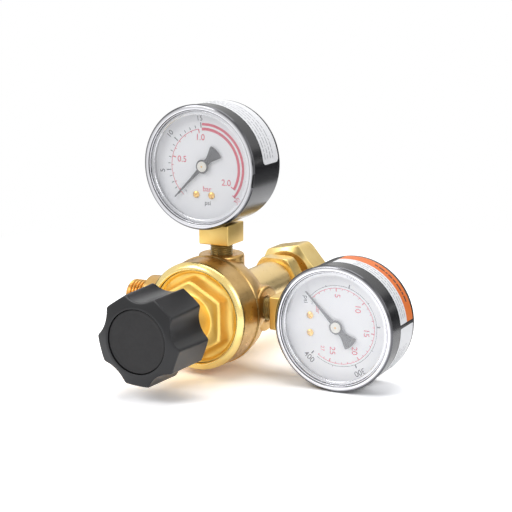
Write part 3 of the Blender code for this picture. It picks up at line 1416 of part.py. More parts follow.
def bourdon_tube(prefix, frame):
    """Flattened tube bent to a C, from the socket block round to its tip."""
    steps = 20
    start = tube_start()
    end = TUBE_END + 1.6 * MM / TUBE_ARC_RADIUS
    sections = []
    for i in range(steps + 1):
        angle = start + (end - start) * i / steps
        section = []
        for k in range(6):
            side = 2 * math.pi * (k + 0.5) / 6
            radius = TUBE_ARC_RADIUS + TUBE_HALF_THICKNESS * math.cos(side)
            height = TUBE_HALF_HEIGHT * math.sin(side)
            section.append((radius * math.cos(angle), radius * math.sin(angle), TUBE_PLANE + height))
        sections.append(section)
    return place(loft(prefix + "bourdon_tube", sections, bronze(), sharp=60.0), parent=frame)


def tube_tip(prefix, frame):
    """End piece soldered into the tube, with the post that pulls the link."""
    half = TUBE_HALF_HEIGHT
    name = prefix + "tube_tip"
    piece = box(name, (-1.1 * MM, -1.3 * MM, -half), (1.1 * MM, 1.3 * MM, half), bright_brass())
    place(piece, (TUBE_TIP.x, TUBE_TIP.y, TUBE_PLANE), (0.0, 0.0, TUBE_END), frame)
    post = gauge_hole(name + "_post", LINK_PIN_RADIUS * 2, (TUBE_TIP.x, TUBE_TIP.y, 0.0), AXIS_UP,
                      TUBE_PLANE, LINK_LEVEL - REST_GAP)
    post.parent = frame
    add(piece, post)
    pin = gauge_hole(name + "_pin", LINK_PIN_RADIUS, (TUBE_TIP.x, TUBE_TIP.y, 0.0), AXIS_UP,
                     TUBE_PLANE, LINK_LEVEL + LINK_THICKNESS + 0.3 * MM)
    pin.parent = frame
    return add(piece, pin)


def pointer(prefix, frame):
    """Tapered pointer with a fan-shaped tail, on the arbor at the dial's centre."""
    hub = POINTER_HUB_RADIUS
    outline = [(POINTER_LENGTH, -POINTER_TIP_HALF), (POINTER_LENGTH + 0.4 * MM, 0.0),
               (POINTER_LENGTH, POINTER_TIP_HALF)]
    for degrees in (18.0, 55.0, 90.0, 125.0, 162.0):
        angle = math.radians(degrees)
        outline.append((hub * math.cos(angle), hub * math.sin(angle)))
    fan = [(-POINTER_TAIL + 0.9 * MM, POINTER_TAIL_HALF), (-POINTER_TAIL, POINTER_TAIL_HALF / 2)]
    outline += fan
    outline += [(x, -y) for x, y in reversed(fan)]
    for degrees in (198.0, 235.0, 270.0, 305.0, 342.0):
        angle = math.radians(degrees)
        outline.append((hub * math.cos(angle), hub * math.sin(angle)))
    obj = plate(prefix + "pointer", outline, 0.0, POINTER_THICKNESS, pointer_black())
    place(obj, (0.0, 0.0, POINTER_LEVEL), (0.0, 0.0, ZERO_ANGLE), frame)
    hole = gauge_hole(prefix + "pointer_hole", ARBOR_RADIUS + THREAD_GAP, (0.0, 0.0, POINTER_LEVEL),
                      AXIS_UP, -MM, POINTER_THICKNESS + MM)
    hole.parent = frame
    return cut(obj, hole)


def pointer_cap(prefix, frame):
    """Round cap over the arbor's end."""
    low = CAP_LEVEL
    high = low + POINTER_CAP_HEIGHT
    profile = [
        (0.0, low),
        (POINTER_CAP_RADIUS, low),
        (POINTER_CAP_RADIUS, high - 0.2 * MM),
        (POINTER_CAP_RADIUS - 0.3 * MM, high),
        (0.0, high),
    ]
    obj = turned(prefix + "pointer_cap", profile, FACETS_TINY + 4, bright_brass())
    return place(obj, parent=frame)


def gauge(prefix, frame):
    """Every piece of one gauge under its frame."""
    gauge_socket(prefix, frame)
    gauge_case(prefix, frame)
    for side, x in case_screw_places().items():
        case_screw(prefix, side, x, frame)
    relief_plug(prefix, frame)
    gauge_bezel(prefix, frame)
    gauge_lens(prefix, frame)
    spacer_ring(prefix, frame)
    gauge_dial(prefix, frame)
    for side, x in dial_screw_places().items():
        dial_screw(prefix, side, x, frame)
    movement_frame(prefix, frame)
    pinion(prefix, frame)
    sector_gear(prefix, frame)
    link(prefix, frame)
    bourdon_tube(prefix, frame)
    tube_tip(prefix, frame)
    pointer(prefix, frame)
    pointer_cap(prefix, frame)


def gauge_frame(name, location, rotation, order="XYZ"):
    """Empty on the gauge's stem axis at the height of the dial's centre."""
    empty = bpy.data.objects.new(name, None)
    bpy.context.collection.objects.link(empty)
    empty.rotation_mode = order
    empty.location = location
    empty.rotation_euler = Euler(rotation, order)
    return empty


def low_gauge_frame():
    """Upright on the top port, facing forward."""
    return gauge_frame("low_gauge_frame", (0.0, -PORT_STATION, TOP_BOSS_HEIGHT + GAUGE_REACH),
                       AXIS_FORWARD)


def high_gauge_frame():
    """On the side port with its dial's top to the right, clocked a little about its stem."""
    side = side_port_location()
    location = (SIDE_BOSS_HEIGHT + GAUGE_REACH, side[1], side[2])
    rotation = (math.radians(90.0) - HIGH_GAUGE_CLOCKING, 0.0, math.radians(-90.0))
    return gauge_frame("high_gauge_frame", location, rotation, "ZYX")


def clear_scene():
    for obj in list(bpy.data.objects):
        bpy.data.objects.remove(obj, do_unlink=True)


def main():
    clear_scene()
    inlet_nut()
    inlet_nipple()
    inlet_filter()
    body()
    nozzle()
    valve_stem()
    valve_seat()
    valve_spring()
    diaphragm()
    diaphragm_plate()
    diaphragm_nut()
    slip_ring()
    bonnet()
    main_spring()
    spring_button()
    adjusting_screw()
    knob()
    knob_cap()
    gauge("low_", low_gauge_frame())
    gauge("high_", high_gauge_frame())


main()
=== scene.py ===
"""Looks of the gas pressure regulator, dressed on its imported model.

Lengths are in millimetres. Meshes, matrices and bumps are brought to metres where they are made. The
studio at the end is in metres.
"""
import json
import math

import bmesh
import bpy
import numpy as np
from mathutils import Matrix, Vector

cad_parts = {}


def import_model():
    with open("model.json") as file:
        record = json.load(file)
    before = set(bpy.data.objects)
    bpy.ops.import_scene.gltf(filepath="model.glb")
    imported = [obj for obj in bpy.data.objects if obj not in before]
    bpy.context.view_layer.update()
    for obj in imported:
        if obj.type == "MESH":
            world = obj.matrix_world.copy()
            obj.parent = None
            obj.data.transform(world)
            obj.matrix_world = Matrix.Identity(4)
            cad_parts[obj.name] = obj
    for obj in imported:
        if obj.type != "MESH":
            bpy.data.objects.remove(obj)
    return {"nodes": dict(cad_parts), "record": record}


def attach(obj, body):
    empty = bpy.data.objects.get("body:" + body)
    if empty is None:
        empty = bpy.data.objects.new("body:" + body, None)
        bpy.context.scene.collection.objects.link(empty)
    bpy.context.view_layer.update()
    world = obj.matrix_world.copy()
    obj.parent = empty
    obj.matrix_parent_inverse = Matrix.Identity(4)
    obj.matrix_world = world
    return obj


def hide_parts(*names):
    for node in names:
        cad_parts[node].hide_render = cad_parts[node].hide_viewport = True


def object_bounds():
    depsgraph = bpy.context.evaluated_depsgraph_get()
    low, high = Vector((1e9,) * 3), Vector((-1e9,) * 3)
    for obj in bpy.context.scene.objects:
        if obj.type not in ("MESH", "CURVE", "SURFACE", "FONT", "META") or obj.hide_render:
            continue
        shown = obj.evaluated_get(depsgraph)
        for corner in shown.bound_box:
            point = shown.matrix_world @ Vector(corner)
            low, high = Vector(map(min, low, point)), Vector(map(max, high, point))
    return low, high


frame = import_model()
CAD_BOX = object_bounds()
MM = 0.001

# Sizes repeated from the part's source
PORT_STATION = 75.0
NECK_LENGTH = 48.2
NECK_RADIUS = 10.3
BODY_RADIUS = 23.4
BODY_LENGTH = 24.8
RIM_STATION = 8.8
RIM_WIDTH = 1.6
RIM_HEIGHT = 0.5
DOME_DEPTH = 15.5
RING_INNER = 20.0
DIAPHRAGM_SEAT = 9.5
BOSS_RADIUS = 9.9
TOP_BOSS = 23.3
SIDE_BOSS = 22.8
OUTLET_BOSS = 35.8
OUTLET_LENGTH = 45.8
THREAD_PITCH = 1.55
STEM_PITCH = 0.94
BONNET_STATION = 11.9
BONNET_FLANGE = 10.2
BONNET_FLATS = 29.4
HEX_TOP = 16.7
NOSE_BASE = 12.6
NOSE_TIP = 11.4
BONNET_HEIGHT = 31.2
KNOB_STATION = 45.9
KNOB_LENGTH = 24.0
KNOB_RADIUS = 20.2
KNOB_CAVITY = 13.2
KNOB_LOBES = 5
KNOB_CLOCKING = math.radians(51.0)
SCALLOP_RADIUS = 11.1
SCALLOP_REAR = 16.0
CASE_RADIUS = 25.94
CASE_BACK = -6.8
SHANK_TOP = -26.24
SHANK_BOTTOM = -35.14
SHANK_SIZE = 14.3
GAUGE_FRONT = 19.1
BEZEL_RADIUS = 26.5
BEZEL_OPENING = 23.7
DIAL_FACE = 14.4
DIAL_RADIUS = 24.74
LENS_BACK = 16.7
POINTER_LEVEL = 15.2
POINTER_REST = 225.0
LOW_SCALE = (231.9, 272.3, 30.0)
HIGH_SCALE = (233.5, 277.2, 400.0)
HIGH_BARS = (233.5, 274.5, 27.58)
LOW_CENTRE = (0.7, -0.4)
HIGH_CENTRE = (-0.35, 0.65)
NUT_FLATS = 28.6
NIPPLE_FLATS = 23.0
BAR_IN_PSI = 14.5038

# Sizes of the render alone
NECK_FILLET = 3.2
POLISHED_RING = 2.35       # length of the polished front of the body
FILLET_STEPS = 8
HALVINGS = 24              # of the search for a fillet's centre
NUT_LENGTH = 14.0
NUT_PITCH = 1.8
CASE_FRONT = 17.7
PRINT_LEVEL = DIAL_FACE + 0.03
NOTCH_FACE = 1.5           # square millimetres: only the notch's cut faces are larger, and they take the painted shade
WRENCH_CORNER = 1 / math.cos(math.radians(30.0))
LETTER_HEIGHT = 0.70       # of a capital letter at a font size of 1
FLOOR_LEVEL = CAD_BOX[0][2] - 0.15 * MM


def placed(x=0.0, y=0.0, z=0.0, turn=0.0, axis="Z"):
    """Matrix of a place and a turn in degrees."""
    return Matrix.Translation(Vector((x, y, z)) * MM) @ Matrix.Rotation(math.radians(turn), 4, axis)


INLET = placed(turn=90.0, axis="X")
MAIN = placed(y=-PORT_STATION, turn=90.0, axis="X")
LOW = placed(y=-PORT_STATION, z=62.94, turn=90.0, axis="X")
TILT = math.radians(-1.0)
HIGH = Matrix((
    (0.0, 1.0, 0.0, 62.44 * MM),
    (-math.sin(TILT), 0.0, -math.cos(TILT), -76.0 * MM),
    (-math.cos(TILT), 0.0, math.sin(TILT), 1.2 * MM),
    (0.0, 0.0, 0.0, 1.0)))


# Materials. The scales of noise are per metre.

def node(tree, kind, inputs, **settings):
    """Outputs of a new node. Each input gets a value or, where a socket is given, a link."""
    made = tree.nodes.new("ShaderNode" + kind)
    for name, value in settings.items():
        setattr(made, name, value)
    for name, value in inputs.items():
        if isinstance(value, bpy.types.NodeSocket):
            tree.links.new(value, made.inputs[name])
        else:
            made.inputs[name].default_value = value
    return made.outputs


def new_material(name, colour, roughness, metallic=0.0):
    """A material with its tree, its shader and its object coordinates."""
    made = bpy.data.materials.new(name)
    made.use_nodes = True
    tree = made.node_tree
    shader = tree.nodes["Principled BSDF"]
    shader.inputs["Base Color"].default_value = (*colour, 1.0)
    shader.inputs["Roughness"].default_value = roughness
    shader.inputs["Metallic"].default_value = metallic
    made.diffuse_color = (*colour, 1.0)
    return made, tree, shader, node(tree, "TexCoord", {})["Object"]


FINE_GRAIN = 1500.0
COARSE_GRAIN = 330.0
TURNING_MARKS = 5200.0
MOULD_GRAIN = 2600.0


def noise(tree, coords, scale, detail=3.0, roughness=0.5):
    return node(tree, "TexNoise", {"Vector": coords, "Scale": scale, "Detail": detail,
                                   "Roughness": roughness})["Fac"]


def spread(tree, value, low, high, start=0.3, end=0.7):
    """A value remapped to a range."""
    return node(tree, "MapRange", {"Value": value, "From Min": start, "From Max": end,
                                   "To Min": low, "To Max": high})["Result"]


def blend_colours(tree, factor, first, second):
    """Blends a colour, or the colour of a socket, with a second colour."""
    if isinstance(first, tuple):
        first = (*first, 1.0)
    return node(tree, "Mix", {"Factor": factor, "A": first, "B": (*second, 1.0)},
                data_type="RGBA")["Result"]


def bump(tree, height, distance, below=None):
    inputs = {"Height": height, "Distance": distance * MM, "Strength": 1.0}
    if below:
        inputs["Normal"] = below
    return node(tree, "Bump", inputs)["Normal"]


def turned_coords(tree, coords):
    """Distance from the piece's axis and level along it, so that marks run round the piece."""
    split = node(tree, "SeparateXYZ", {0: coords})
    flat = node(tree, "CombineXYZ", {"X": split["X"], "Y": split["Y"]})[0]
    length = node(tree, "VectorMath", {0: flat}, operation="LENGTH")["Value"]
    return node(tree, "CombineXYZ", {"X": length, "Z": split["Z"]})[0]


def worn_material(name, light, dark, rough, metallic, patches, wear):
    """A material with colour patches and uneven polish, each at its own scale."""
    made, tree, shader, coords = new_material(name, light, rough[0], metallic)
    patchy = spread(tree, noise(tree, coords, patches, 4.0, 0.6), 0.0, 1.0, 0.35, 0.7)
    tree.links.new(blend_colours(tree, patchy, light, dark), shader.inputs["Base Color"])
    worn = spread(tree, noise(tree, coords, wear, 3.0, 0.6), *rough)
    tree.links.new(worn, shader.inputs["Roughness"])
    return made, tree, shader, coords


def metal(name, light, dark, rough, grain=0.0, turning=0.0, patches=140.0):
    """Worn metal with a cast grain and fine turning marks."""
    made, tree, shader, coords = worn_material(name, light, dark, rough, 1.0, patches, patches * 3.5)
    normal = None
    if grain:
        normal = bump(tree, noise(tree, coords, FINE_GRAIN, 4.0, 0.65), grain)
        normal = bump(tree, noise(tree, coords, COARSE_GRAIN, 2.0), grain * 1.5, normal)
    if turning:
        marks = noise(tree, turned_coords(tree, coords), TURNING_MARKS, 2.0)
        normal = bump(tree, marks, turning, normal)
    if normal:
        tree.links.new(normal, shader.inputs["Normal"])
    return made


def by_radius(made, stops):
    """Paints light and shade in bands on a turned piece, between distances from its axis."""
    tree = made.node_tree
    coords = node(tree, "TexCoord", {})["Object"]
    distance = node(tree, "SeparateXYZ", {0: turned_coords(tree, coords)})["X"]
    base = tree.nodes["Principled BSDF"].inputs["Base Color"]
    for start, end, share_start, share_end, colour in stops:
        share = spread(tree, distance, share_start, share_end, start * MM, end * MM)
        tree.links.new(blend_colours(tree, share, base.links[0].from_socket, colour), base)


def plastic(name, light, dark, rough, grain, gloss=0.5):
    """Moulded or painted surface with a fine grain."""
    made, tree, shader, coords = worn_material(name, light, dark, rough, 0.0, 90.0, 700.0)
    shader.inputs["Specular IOR Level"].default_value = gloss
    fine = bump(tree, noise(tree, coords, MOULD_GRAIN, 3.0, 0.6), grain)
    tree.links.new(fine, shader.inputs["Normal"])
    return made


def clear(name, veil, rough):
    """Thin clear plastic: a faint mirror over whatever lies behind it."""
    made, tree, shader, coords = new_material(name, (0.93, 0.94, 0.97), rough[0], 1.0)
    shader.inputs["Alpha"].default_value = veil
    haze = spread(tree, noise(tree, coords, 60.0, 2.0), *rough)
    tree.links.new(haze, shader.inputs["Roughness"])
    return made


METALS = {   # the two colours of the patches, roughness, cast grain, turning marks, scale of the patches
    "brass": ((0.66, 0.42, 0.155), (0.52, 0.31, 0.10), (0.26, 0.40), 0.010),
    "body_brass": ((0.64, 0.42, 0.165), (0.50, 0.31, 0.105), (0.26, 0.40), 0.010),
    "machined_brass": ((0.87, 0.69, 0.30), (0.81, 0.61, 0.22), (0.18, 0.28), 0.0, 0.0015),
    "bright_brass": ((0.82, 0.52, 0.13), (0.76, 0.45, 0.09), (0.24, 0.36), 0.0, 0.002),
    "bonnet_brass": ((0.92, 0.66, 0.20), (0.86, 0.58, 0.15), (0.44, 0.54), 0.0, 0.0005),
    "nut_brass": ((0.87, 0.66, 0.27), (0.80, 0.57, 0.20), (0.27, 0.34)),
    "shank_brass": ((0.80, 0.57, 0.20), (0.75, 0.51, 0.16), (0.38, 0.42)),
    # darker brass for the gauges' threaded stems: painted shade where they go into the bosses
    "painted_shade_thread_brass": ((0.34, 0.25, 0.10), (0.26, 0.19, 0.07), (0.30, 0.44)),
    "orange_brass": ((0.86, 0.50, 0.16), (0.78, 0.42, 0.11), (0.24, 0.36)),
    "bronze": ((0.55, 0.35, 0.16), (0.46, 0.28, 0.12), (0.30, 0.46), 0.01),
    "steel": ((0.60, 0.60, 0.62), (0.50, 0.50, 0.52), (0.24, 0.38), 0.0, 0.002),
    "bezel_metal": ((0.70, 0.70, 0.73), (0.62, 0.62, 0.65), (0.10, 0.18), 0.0, 0.0006, 60.0),
}
PLASTICS = {   # the two colours of the patches, roughness, grain, gloss
    "black_steel": ((0.014, 0.014, 0.016), (0.018, 0.018, 0.020), (0.20, 0.24), 0.0003),
    "black_plastic": ((0.014, 0.014, 0.0155), (0.011, 0.011, 0.012), (0.28, 0.31), 0.00012, 0.38),
    "cap_plastic": ((0.0235, 0.0225, 0.023), (0.019, 0.0185, 0.019), (0.50, 0.62), 0.008, 0.32),
    "rubber": ((0.022, 0.022, 0.024), (0.030, 0.030, 0.032), (0.60, 0.75), 0.012),
    "white_enamel": ((0.92, 0.92, 0.93), (0.89, 0.89, 0.905), (0.35, 0.45), 0.002),
    "ring_plastic": ((0.46, 0.46, 0.48), (0.38, 0.38, 0.40), (0.18, 0.28), 0.002),
    "pointer_black": ((0.042, 0.042, 0.046), (0.035, 0.035, 0.039), (0.45, 0.6), 0.006),
    "print_black": ((0.02, 0.02, 0.03), (0.035, 0.035, 0.045), (0.5, 0.65), 0.002),
    "print_red": ((0.72, 0.045, 0.10), (0.66, 0.06, 0.12), (0.5, 0.65), 0.002),
    "label_white": ((0.90, 0.90, 0.91), (0.86, 0.86, 0.87), (0.38, 0.5), 0.004),
    "print_grey": ((0.30, 0.30, 0.32), (0.40, 0.40, 0.42), (0.5, 0.65), 0.002),
    "label_orange": ((0.86, 0.20, 0.025), (0.80, 0.17, 0.02), (0.38, 0.5), 0.004),
    "cap_cream": ((0.84, 0.81, 0.73), (0.78, 0.74, 0.65), (0.3, 0.42), 0.004),
}
PAINTED_LIGHT_BANDS = {   # painted light and shade in bands: two distances from the axis, the colour's share at each of them, and the colour
    # painted highlight: paler brass on the neck and its fillet, fading out towards the body
    "body_brass": [(10.8, 15.0, 0.75, 0.0, (0.87, 0.67, 0.33))],
    # painted shade: darker brass in the outlet's thread roots, on the inner part of its end face and in
    # its bore
    "orange_brass": [(6.35, 6.95, 0.9, 0.0, (0.20, 0.09, 0.02))],
    # painted shade: a dark band at the step of the inner lip, the face bright grey again beyond it;
    # painted reflection of dark surroundings on the rolled outer edge
    "bezel_metal": [(23.95, 24.12, 0.0, 0.93, (0.04, 0.04, 0.045)),
                    (24.26, 24.45, 0.0, 1.0, (0.74, 0.74, 0.77)),
                    (25.1, 25.95, 0.0, 0.92, (0.05, 0.05, 0.055))],
}
FINISH = {name: metal(name, *values) for name, values in METALS.items()}
FINISH.update({name: plastic(name, *values) for name, values in PLASTICS.items()})
FINISH["clear_plastic"] = clear("clear_plastic", 0.10, (0.025, 0.06))
FINISH["clear_edge"] = clear("clear_edge", 0.42, (0.16, 0.26))
for shaded, stops in PAINTED_LIGHT_BANDS.items():
    by_radius(FINISH[shaded], stops)


# Shape helpers

def soften(profile, size=0.3, level=0.0):
    """Rounds the corners of a profile that starts from a level. A point may carry its own size."""
    profile = [(point[0], point[1] + level, *point[2:]) for point in profile]
    out = []
    steps = 4
    for i, entry in enumerate(profile):
        corner = Vector(entry[:2])
        if i in (0, len(profile) - 1):
            out.append(tuple(corner))
            continue
        before = Vector(profile[i - 1][:2]) - corner
        after = Vector(profile[i + 1][:2]) - corner
        reach = min(entry[2] if len(entry) > 2 else size, before.length * 0.4, after.length * 0.4)
        if reach < 0.01 or before.angle(after) > math.radians(176.0):
            out.append(tuple(corner))
            continue
        first = corner + before.normalized() * reach
        last = corner + after.normalized() * reach
        out.append(tuple(first + before.normalized() * reach * 0.15))
        for k in range(steps + 1):
            t = k / steps
            out.append(tuple(first * (1 - t) ** 2 + corner * 2 * t * (1 - t) + last * t ** 2))
        out.append(tuple(last + after.normalized() * reach * 0.15))
    return out


def dense(profile, step):
    """Splits the long segments of a profile."""
    out = [profile[0]]
    for a, b in zip(profile, profile[1:]):
        parts = max(1, math.ceil(math.dist(a, b) / step))
        out += [(a[0] + (b[0] - a[0]) * k / parts, a[1] + (b[1] - a[1]) * k / parts)
                for k in range(1, parts + 1)]
    return out


def arc(centre_r, centre_z, radius, start, end, steps):
    points = []
    for i in range(steps + 1):
        angle = math.radians(start + (end - start) * i / steps)
        points.append((centre_r + radius * math.cos(angle), centre_z + radius * math.sin(angle)))
    return points


def smooth_min(a, b, width):
    share = max(width - abs(a - b), 0.0) / width
    return min(a, b) - share * share * width / 4


def bridge(shape, rings, close=False):
    """Faces between rings of equal or single points."""
    pairs = list(zip(rings, rings[1:]))
    if close:
        pairs.append((rings[-1], rings[0]))
    for low, high in pairs:
        count = max(len(low), len(high))
        for i in range(count):
            j = (i + 1) % count
            corners = [low[i % len(low)], low[j % len(low)], high[j % len(high)], high[i % len(high)]]
            corners = list(dict.fromkeys(corners))
            if len(corners) > 2:
                shape.faces.new(corners)


def mesh_of(shape, name, up=False):
    """Mesh in metres of a shape, its faces turned outwards, or upwards for print."""
    shape.transform(Matrix.Scale(MM, 4))
    bmesh.ops.recalc_face_normals(shape, faces=shape.faces)
    for face in shape.faces:
        if up and face.normal.z < 0:
            face.normal_flip()
    data = bpy.data.meshes.new(name)
    shape.to_mesh(data)
    shape.free()
    return data


def around(shape, radius, angle, level):
    """A new corner of a shape at a distance, an angle and a level of its axis."""
    return shape.verts.new((radius * math.cos(angle), radius * math.sin(angle), level))


def lathe(name, profile, columns=160, reshape=None, phase=0.0, close=False):
    """Mesh turned about Z. reshape(radius, angle, level) may change each point's radius."""
    shape = bmesh.new()
    rings = []
    for radius, level in profile:
        if radius < 1e-4:
            rings.append([shape.verts.new((0.0, 0.0, level))])
            continue
        ring = []
        for i in range(columns):
            angle = phase + 2 * math.pi * i / columns
            at = reshape(radius, angle, level) if reshape else radius
            ring.append(around(shape, at, angle, level))
        rings.append(ring)
    bridge(shape, rings, close)
    return mesh_of(shape, name)


def put(name, data, matrix=Matrix()):
    """A new object in the scene."""
    obj = bpy.data.objects.new(name, data)
    bpy.context.scene.collection.objects.link(obj)
    obj.matrix_world = matrix
    return obj


def smooth(data, sharp=40.0):
    data.shade_smooth()
    data.set_sharp_from_angle(angle=math.radians(sharp))


def piece(name, data, matrix, finish, slot=None, stands_for=(), sharp=40.0, body="housing"):
    """A shown piece of the object, riding on its body. The slot is not used."""
    smooth(data, sharp)
    obj = put(name, data, matrix)
    data.materials.append(FINISH[finish])
    slot = slot or finish
    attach(obj, body)
    if stands_for:
        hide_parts(*stands_for)
    return obj


def second_finish(obj, finish, chosen):
    """Gives a second material to the faces that are chosen."""
    obj.data.materials.append(FINISH[finish])
    for face in obj.data.polygons:
        face.material_index = int(chosen(face))


def carve(obj, cutter):
    """Takes a cutter's shape out of a piece for good."""
    change = obj.modifiers.new("cut", "BOOLEAN")
    change.operation = "DIFFERENCE"
    change.solver = "EXACT"
    change.object = cutter
    depsgraph = bpy.context.evaluated_depsgraph_get()
    data = bpy.data.meshes.new_from_object(obj.evaluated_get(depsgraph))
    obj.modifiers.clear()
    obj.data = data
    bpy.data.objects.remove(cutter, do_unlink=True)
    smooth(data)


def block(name, low, high, edge=0.0):
    """Mesh of a block between two corners with rounded edges."""
    shape = bmesh.new()
    bmesh.ops.create_cube(shape, size=1.0)
    for vert in shape.verts:
        vert.co = Vector([low[i] if vert.co[i] < 0 else high[i] for i in range(3)])
    if edge:
        bmesh.ops.bevel(shape, geom=list(shape.edges), offset=edge, segments=3, profile=0.5,
                        affect="EDGES")
    return mesh_of(shape, name)


def hexagon(flats, phase, corner_blend=0.8):
    """Radius of a hexagon's outline at an angle, its corners a little rounded."""
    corner = flats / 2 * WRENCH_CORNER

    def radius(angle):
        turn = (angle - phase) % math.radians(60.0) - math.radians(30.0)
        return smooth_min(flats / 2 / math.cos(turn), corner - 0.15, corner_blend)
    return radius


def ridges(root, depth, pitch, low, high):
    """Radius of a helical thread at an angle and level, fading out at its two ends."""
    def radius(angle, level):
        phase = (level / pitch - angle / (2 * math.pi)) % 1.0
        ridge = 1.0 - abs(2.0 * phase - 1.0)
        ridge = min(max((ridge - 0.15) / 0.7, 0.0), 1.0)
        fade = min(1.0, max(0.0, (level - low) / pitch), max(0.0, (high - level) / pitch))
        return root + depth * (1.0 - (1.0 - ridge) * fade)
    return radius


# Body

def body_profile():
    """Outside of the forging as (radius, level) points, from the neck's end to the ring's crest."""
    back = -NECK_LENGTH
    foot = NECK_RADIUS + NECK_FILLET
    start = RIM_STATION - 0.3
    points = [(NECK_RADIUS - 1.2, back), (NECK_RADIUS, back + 1.2)]
    points += arc(foot, start - DOME_DEPTH - NECK_FILLET, NECK_FILLET, 180.0, 90.0, 10)
    steps = 28
    for i in range(1, steps + 1):
        angle = math.radians(90.0 * (1 - i / steps))
        points.append((foot + (BODY_RADIUS - foot) * math.cos(angle),
                       start - DOME_DEPTH * math.sin(angle)))
    ring = BODY_RADIUS + RIM_HEIGHT
    slope = 2.2
    width = 3.4
    points += [
        (ring, RIM_STATION),
        (ring, RIM_STATION + RIM_WIDTH),
        (BODY_RADIUS, RIM_STATION + RIM_WIDTH + RIM_HEIGHT),
        (BODY_RADIUS, BODY_LENGTH - slope, 0.9),
        (BODY_RADIUS - 0.25 * width, BODY_LENGTH - 0.45 * slope, 0.5),
        (BODY_RADIUS - 0.55 * width, BODY_LENGTH - 0.08 * slope, 0.6),
        (BODY_RADIUS - 0.8 * width, BODY_LENGTH, 0.4),
    ]
    return points


def body_shell():
    """The turned forging with its recess for the bonnet, polished on its front ring."""
    bore = 6.85
    back = -NECK_LENGTH
    depth = 12.6
    inside = [(0.0, back + depth), (bore, back + depth), (bore, back)]
    front = [
        (RING_INNER + 0.35, BODY_LENGTH - 0.05, 0.3),
        (RING_INNER, BODY_LENGTH - 0.6, 0.3),
        (RING_INNER, DIAPHRAGM_SEAT),
        (0.0, DIAPHRAGM_SEAT),
    ]
    data = lathe("body_shell", soften(inside + body_profile() + front, 0.35), 192)
    shell = piece("body_shell", data, MAIN, "body_brass", "brass", ["body"])
    polished = (BODY_LENGTH - POLISHED_RING) * MM
    second_finish(shell, "machined_brass", lambda face: face.center.z > polished)


def nearest_on(line, point):
    """Closest point of a polyline in the (radius, level) plane, and the signed distance outwards."""
    start, end = line[:-1], line[1:]
    along = end - start
    share = np.clip(((point - start) * along).sum(1) / (along * along).sum(1), 0.0, 1.0)
    spots = start + along * share[:, None]
    gaps = np.linalg.norm(spots - point, axis=1)
    best = int(gaps.argmin())
    outline = np.interp(point[1], line[:, 1], line[:, 0])
    sign = 1.0 if point[0] > outline else -1.0
    return spots[best], sign * gaps[best]


def fillet(line, base, axis, out, radius, top):
    """Rounded root of a boss along one of its sides: points from its wall to the forging, or None."""
    for ball in (2.6, 2.0, 1.5, 1.0, 0.6, 0.3):
        low, high = 0.0, top

        def gap(height):
            centre = base + axis * height + out * (radius + ball)
            flat = np.array((math.hypot(centre.x, centre.y), centre.z))
            return nearest_on(line, flat)[1] - ball
        if gap(top) < 0.0:
            continue
        for _ in range(HALVINGS):
            middle = (low + high) / 2
            if gap(middle) < 0.0:
                low = middle
            else:
                high = middle
        centre = base + axis * high + out * (radius + ball)
        flat = math.hypot(centre.x, centre.y)
        spot, _ = nearest_on(line, np.array((flat, centre.z)))
        touch = Vector((centre.x / flat * spot[0], centre.y / flat * spot[0], spot[1]))
        first = -out
        last = (touch - centre).normalized()
        turn = first.angle(last)
        points = []
        for i in range(FILLET_STEPS + 1):
            share = i / FILLET_STEPS
            way = first * math.sin((1 - share) * turn) + last * math.sin(share * turn)
            points.append(centre + way / math.sin(turn) * ball)
        points.append(touch + last * 0.25)
        return points
    return None


def boss(name, axis, side, base, height, bore, edge=0.7):
    """A port boss whose root runs into the forging with a rolled fillet."""
    line = np.array([point[:2] for point in soften(body_profile(), 0.35)])
    forward = Vector((0.0, 0.0, 1.0))
    shape = bmesh.new()
    wall = height - 2 * edge
    face = soften([(bore - 0.5, height - 1.4), (bore, height - 0.6), (bore + 0.9, height),
                   (BOSS_RADIUS, height, edge), (BOSS_RADIUS, wall)], 0.25)
    columns = 128
    root_points = FILLET_STEPS + 2
    rings = [[] for _ in range(len(face) + root_points)]
    for i in range(columns):
        angle = 2 * math.pi * i / columns
        out = forward * math.cos(angle) + side * math.sin(angle)
        column = [base + axis * level + out * radius for radius, level in face]
        root = fillet(line, base, axis, out, BOSS_RADIUS, wall)
        if root is None:
            root = [column[-1] - axis * 0.3 * (k + 1) for k in range(root_points)]
        for ring, point in zip(rings, column + root):
            ring.append(shape.verts.new(point))
    bridge(shape, rings)
    piece(name, mesh_of(shape, name), MAIN, "brass", sharp=55.0)


def outlet():
    """The hose connection with its thread and its cone seat."""
    low = OUTLET_BOSS + 0.8
    thread = ridges(6.25, 0.89, THREAD_PITCH, low, OUTLET_LENGTH - 0.4)

    def reshape(radius, angle, level):
        if radius > 6.5 and level > low:
            return min(radius, thread(angle, level))
        return radius
    crest = 7.14
    profile = [
        (0.0, 20.0), (3.0, 20.0), (3.0, OUTLET_LENGTH - 1.9), (4.8, OUTLET_LENGTH),
        (6.3, OUTLET_LENGTH), (crest, OUTLET_LENGTH - 0.9), (crest, OUTLET_BOSS - 2.0),
    ]
    data = lathe("outlet", dense(soften(profile, 0.2), THREAD_PITCH / 12), 96, reshape)
    matrix = placed(y=-PORT_STATION, turn=-90.0, axis="Y")
    piece("outlet_thread", data, matrix, "orange_brass", "brass", sharp=60.0)


def body():
    body_shell()
    up = Vector((0.0, 1.0, 0.0))
    right = Vector((1.0, 0.0, 0.0))
    centre = Vector((0.0, 0.0, 0.0))
    boss("boss_top", up, right, centre, TOP_BOSS, 5.0, 1.6)
    boss("boss_side", right, up, Vector((0.0, 1.2, 1.0)), SIDE_BOSS, 5.0, 1.6)
    boss("boss_outlet", -right, up, centre, OUTLET_BOSS, 7.0)
    outlet()


# Inlet

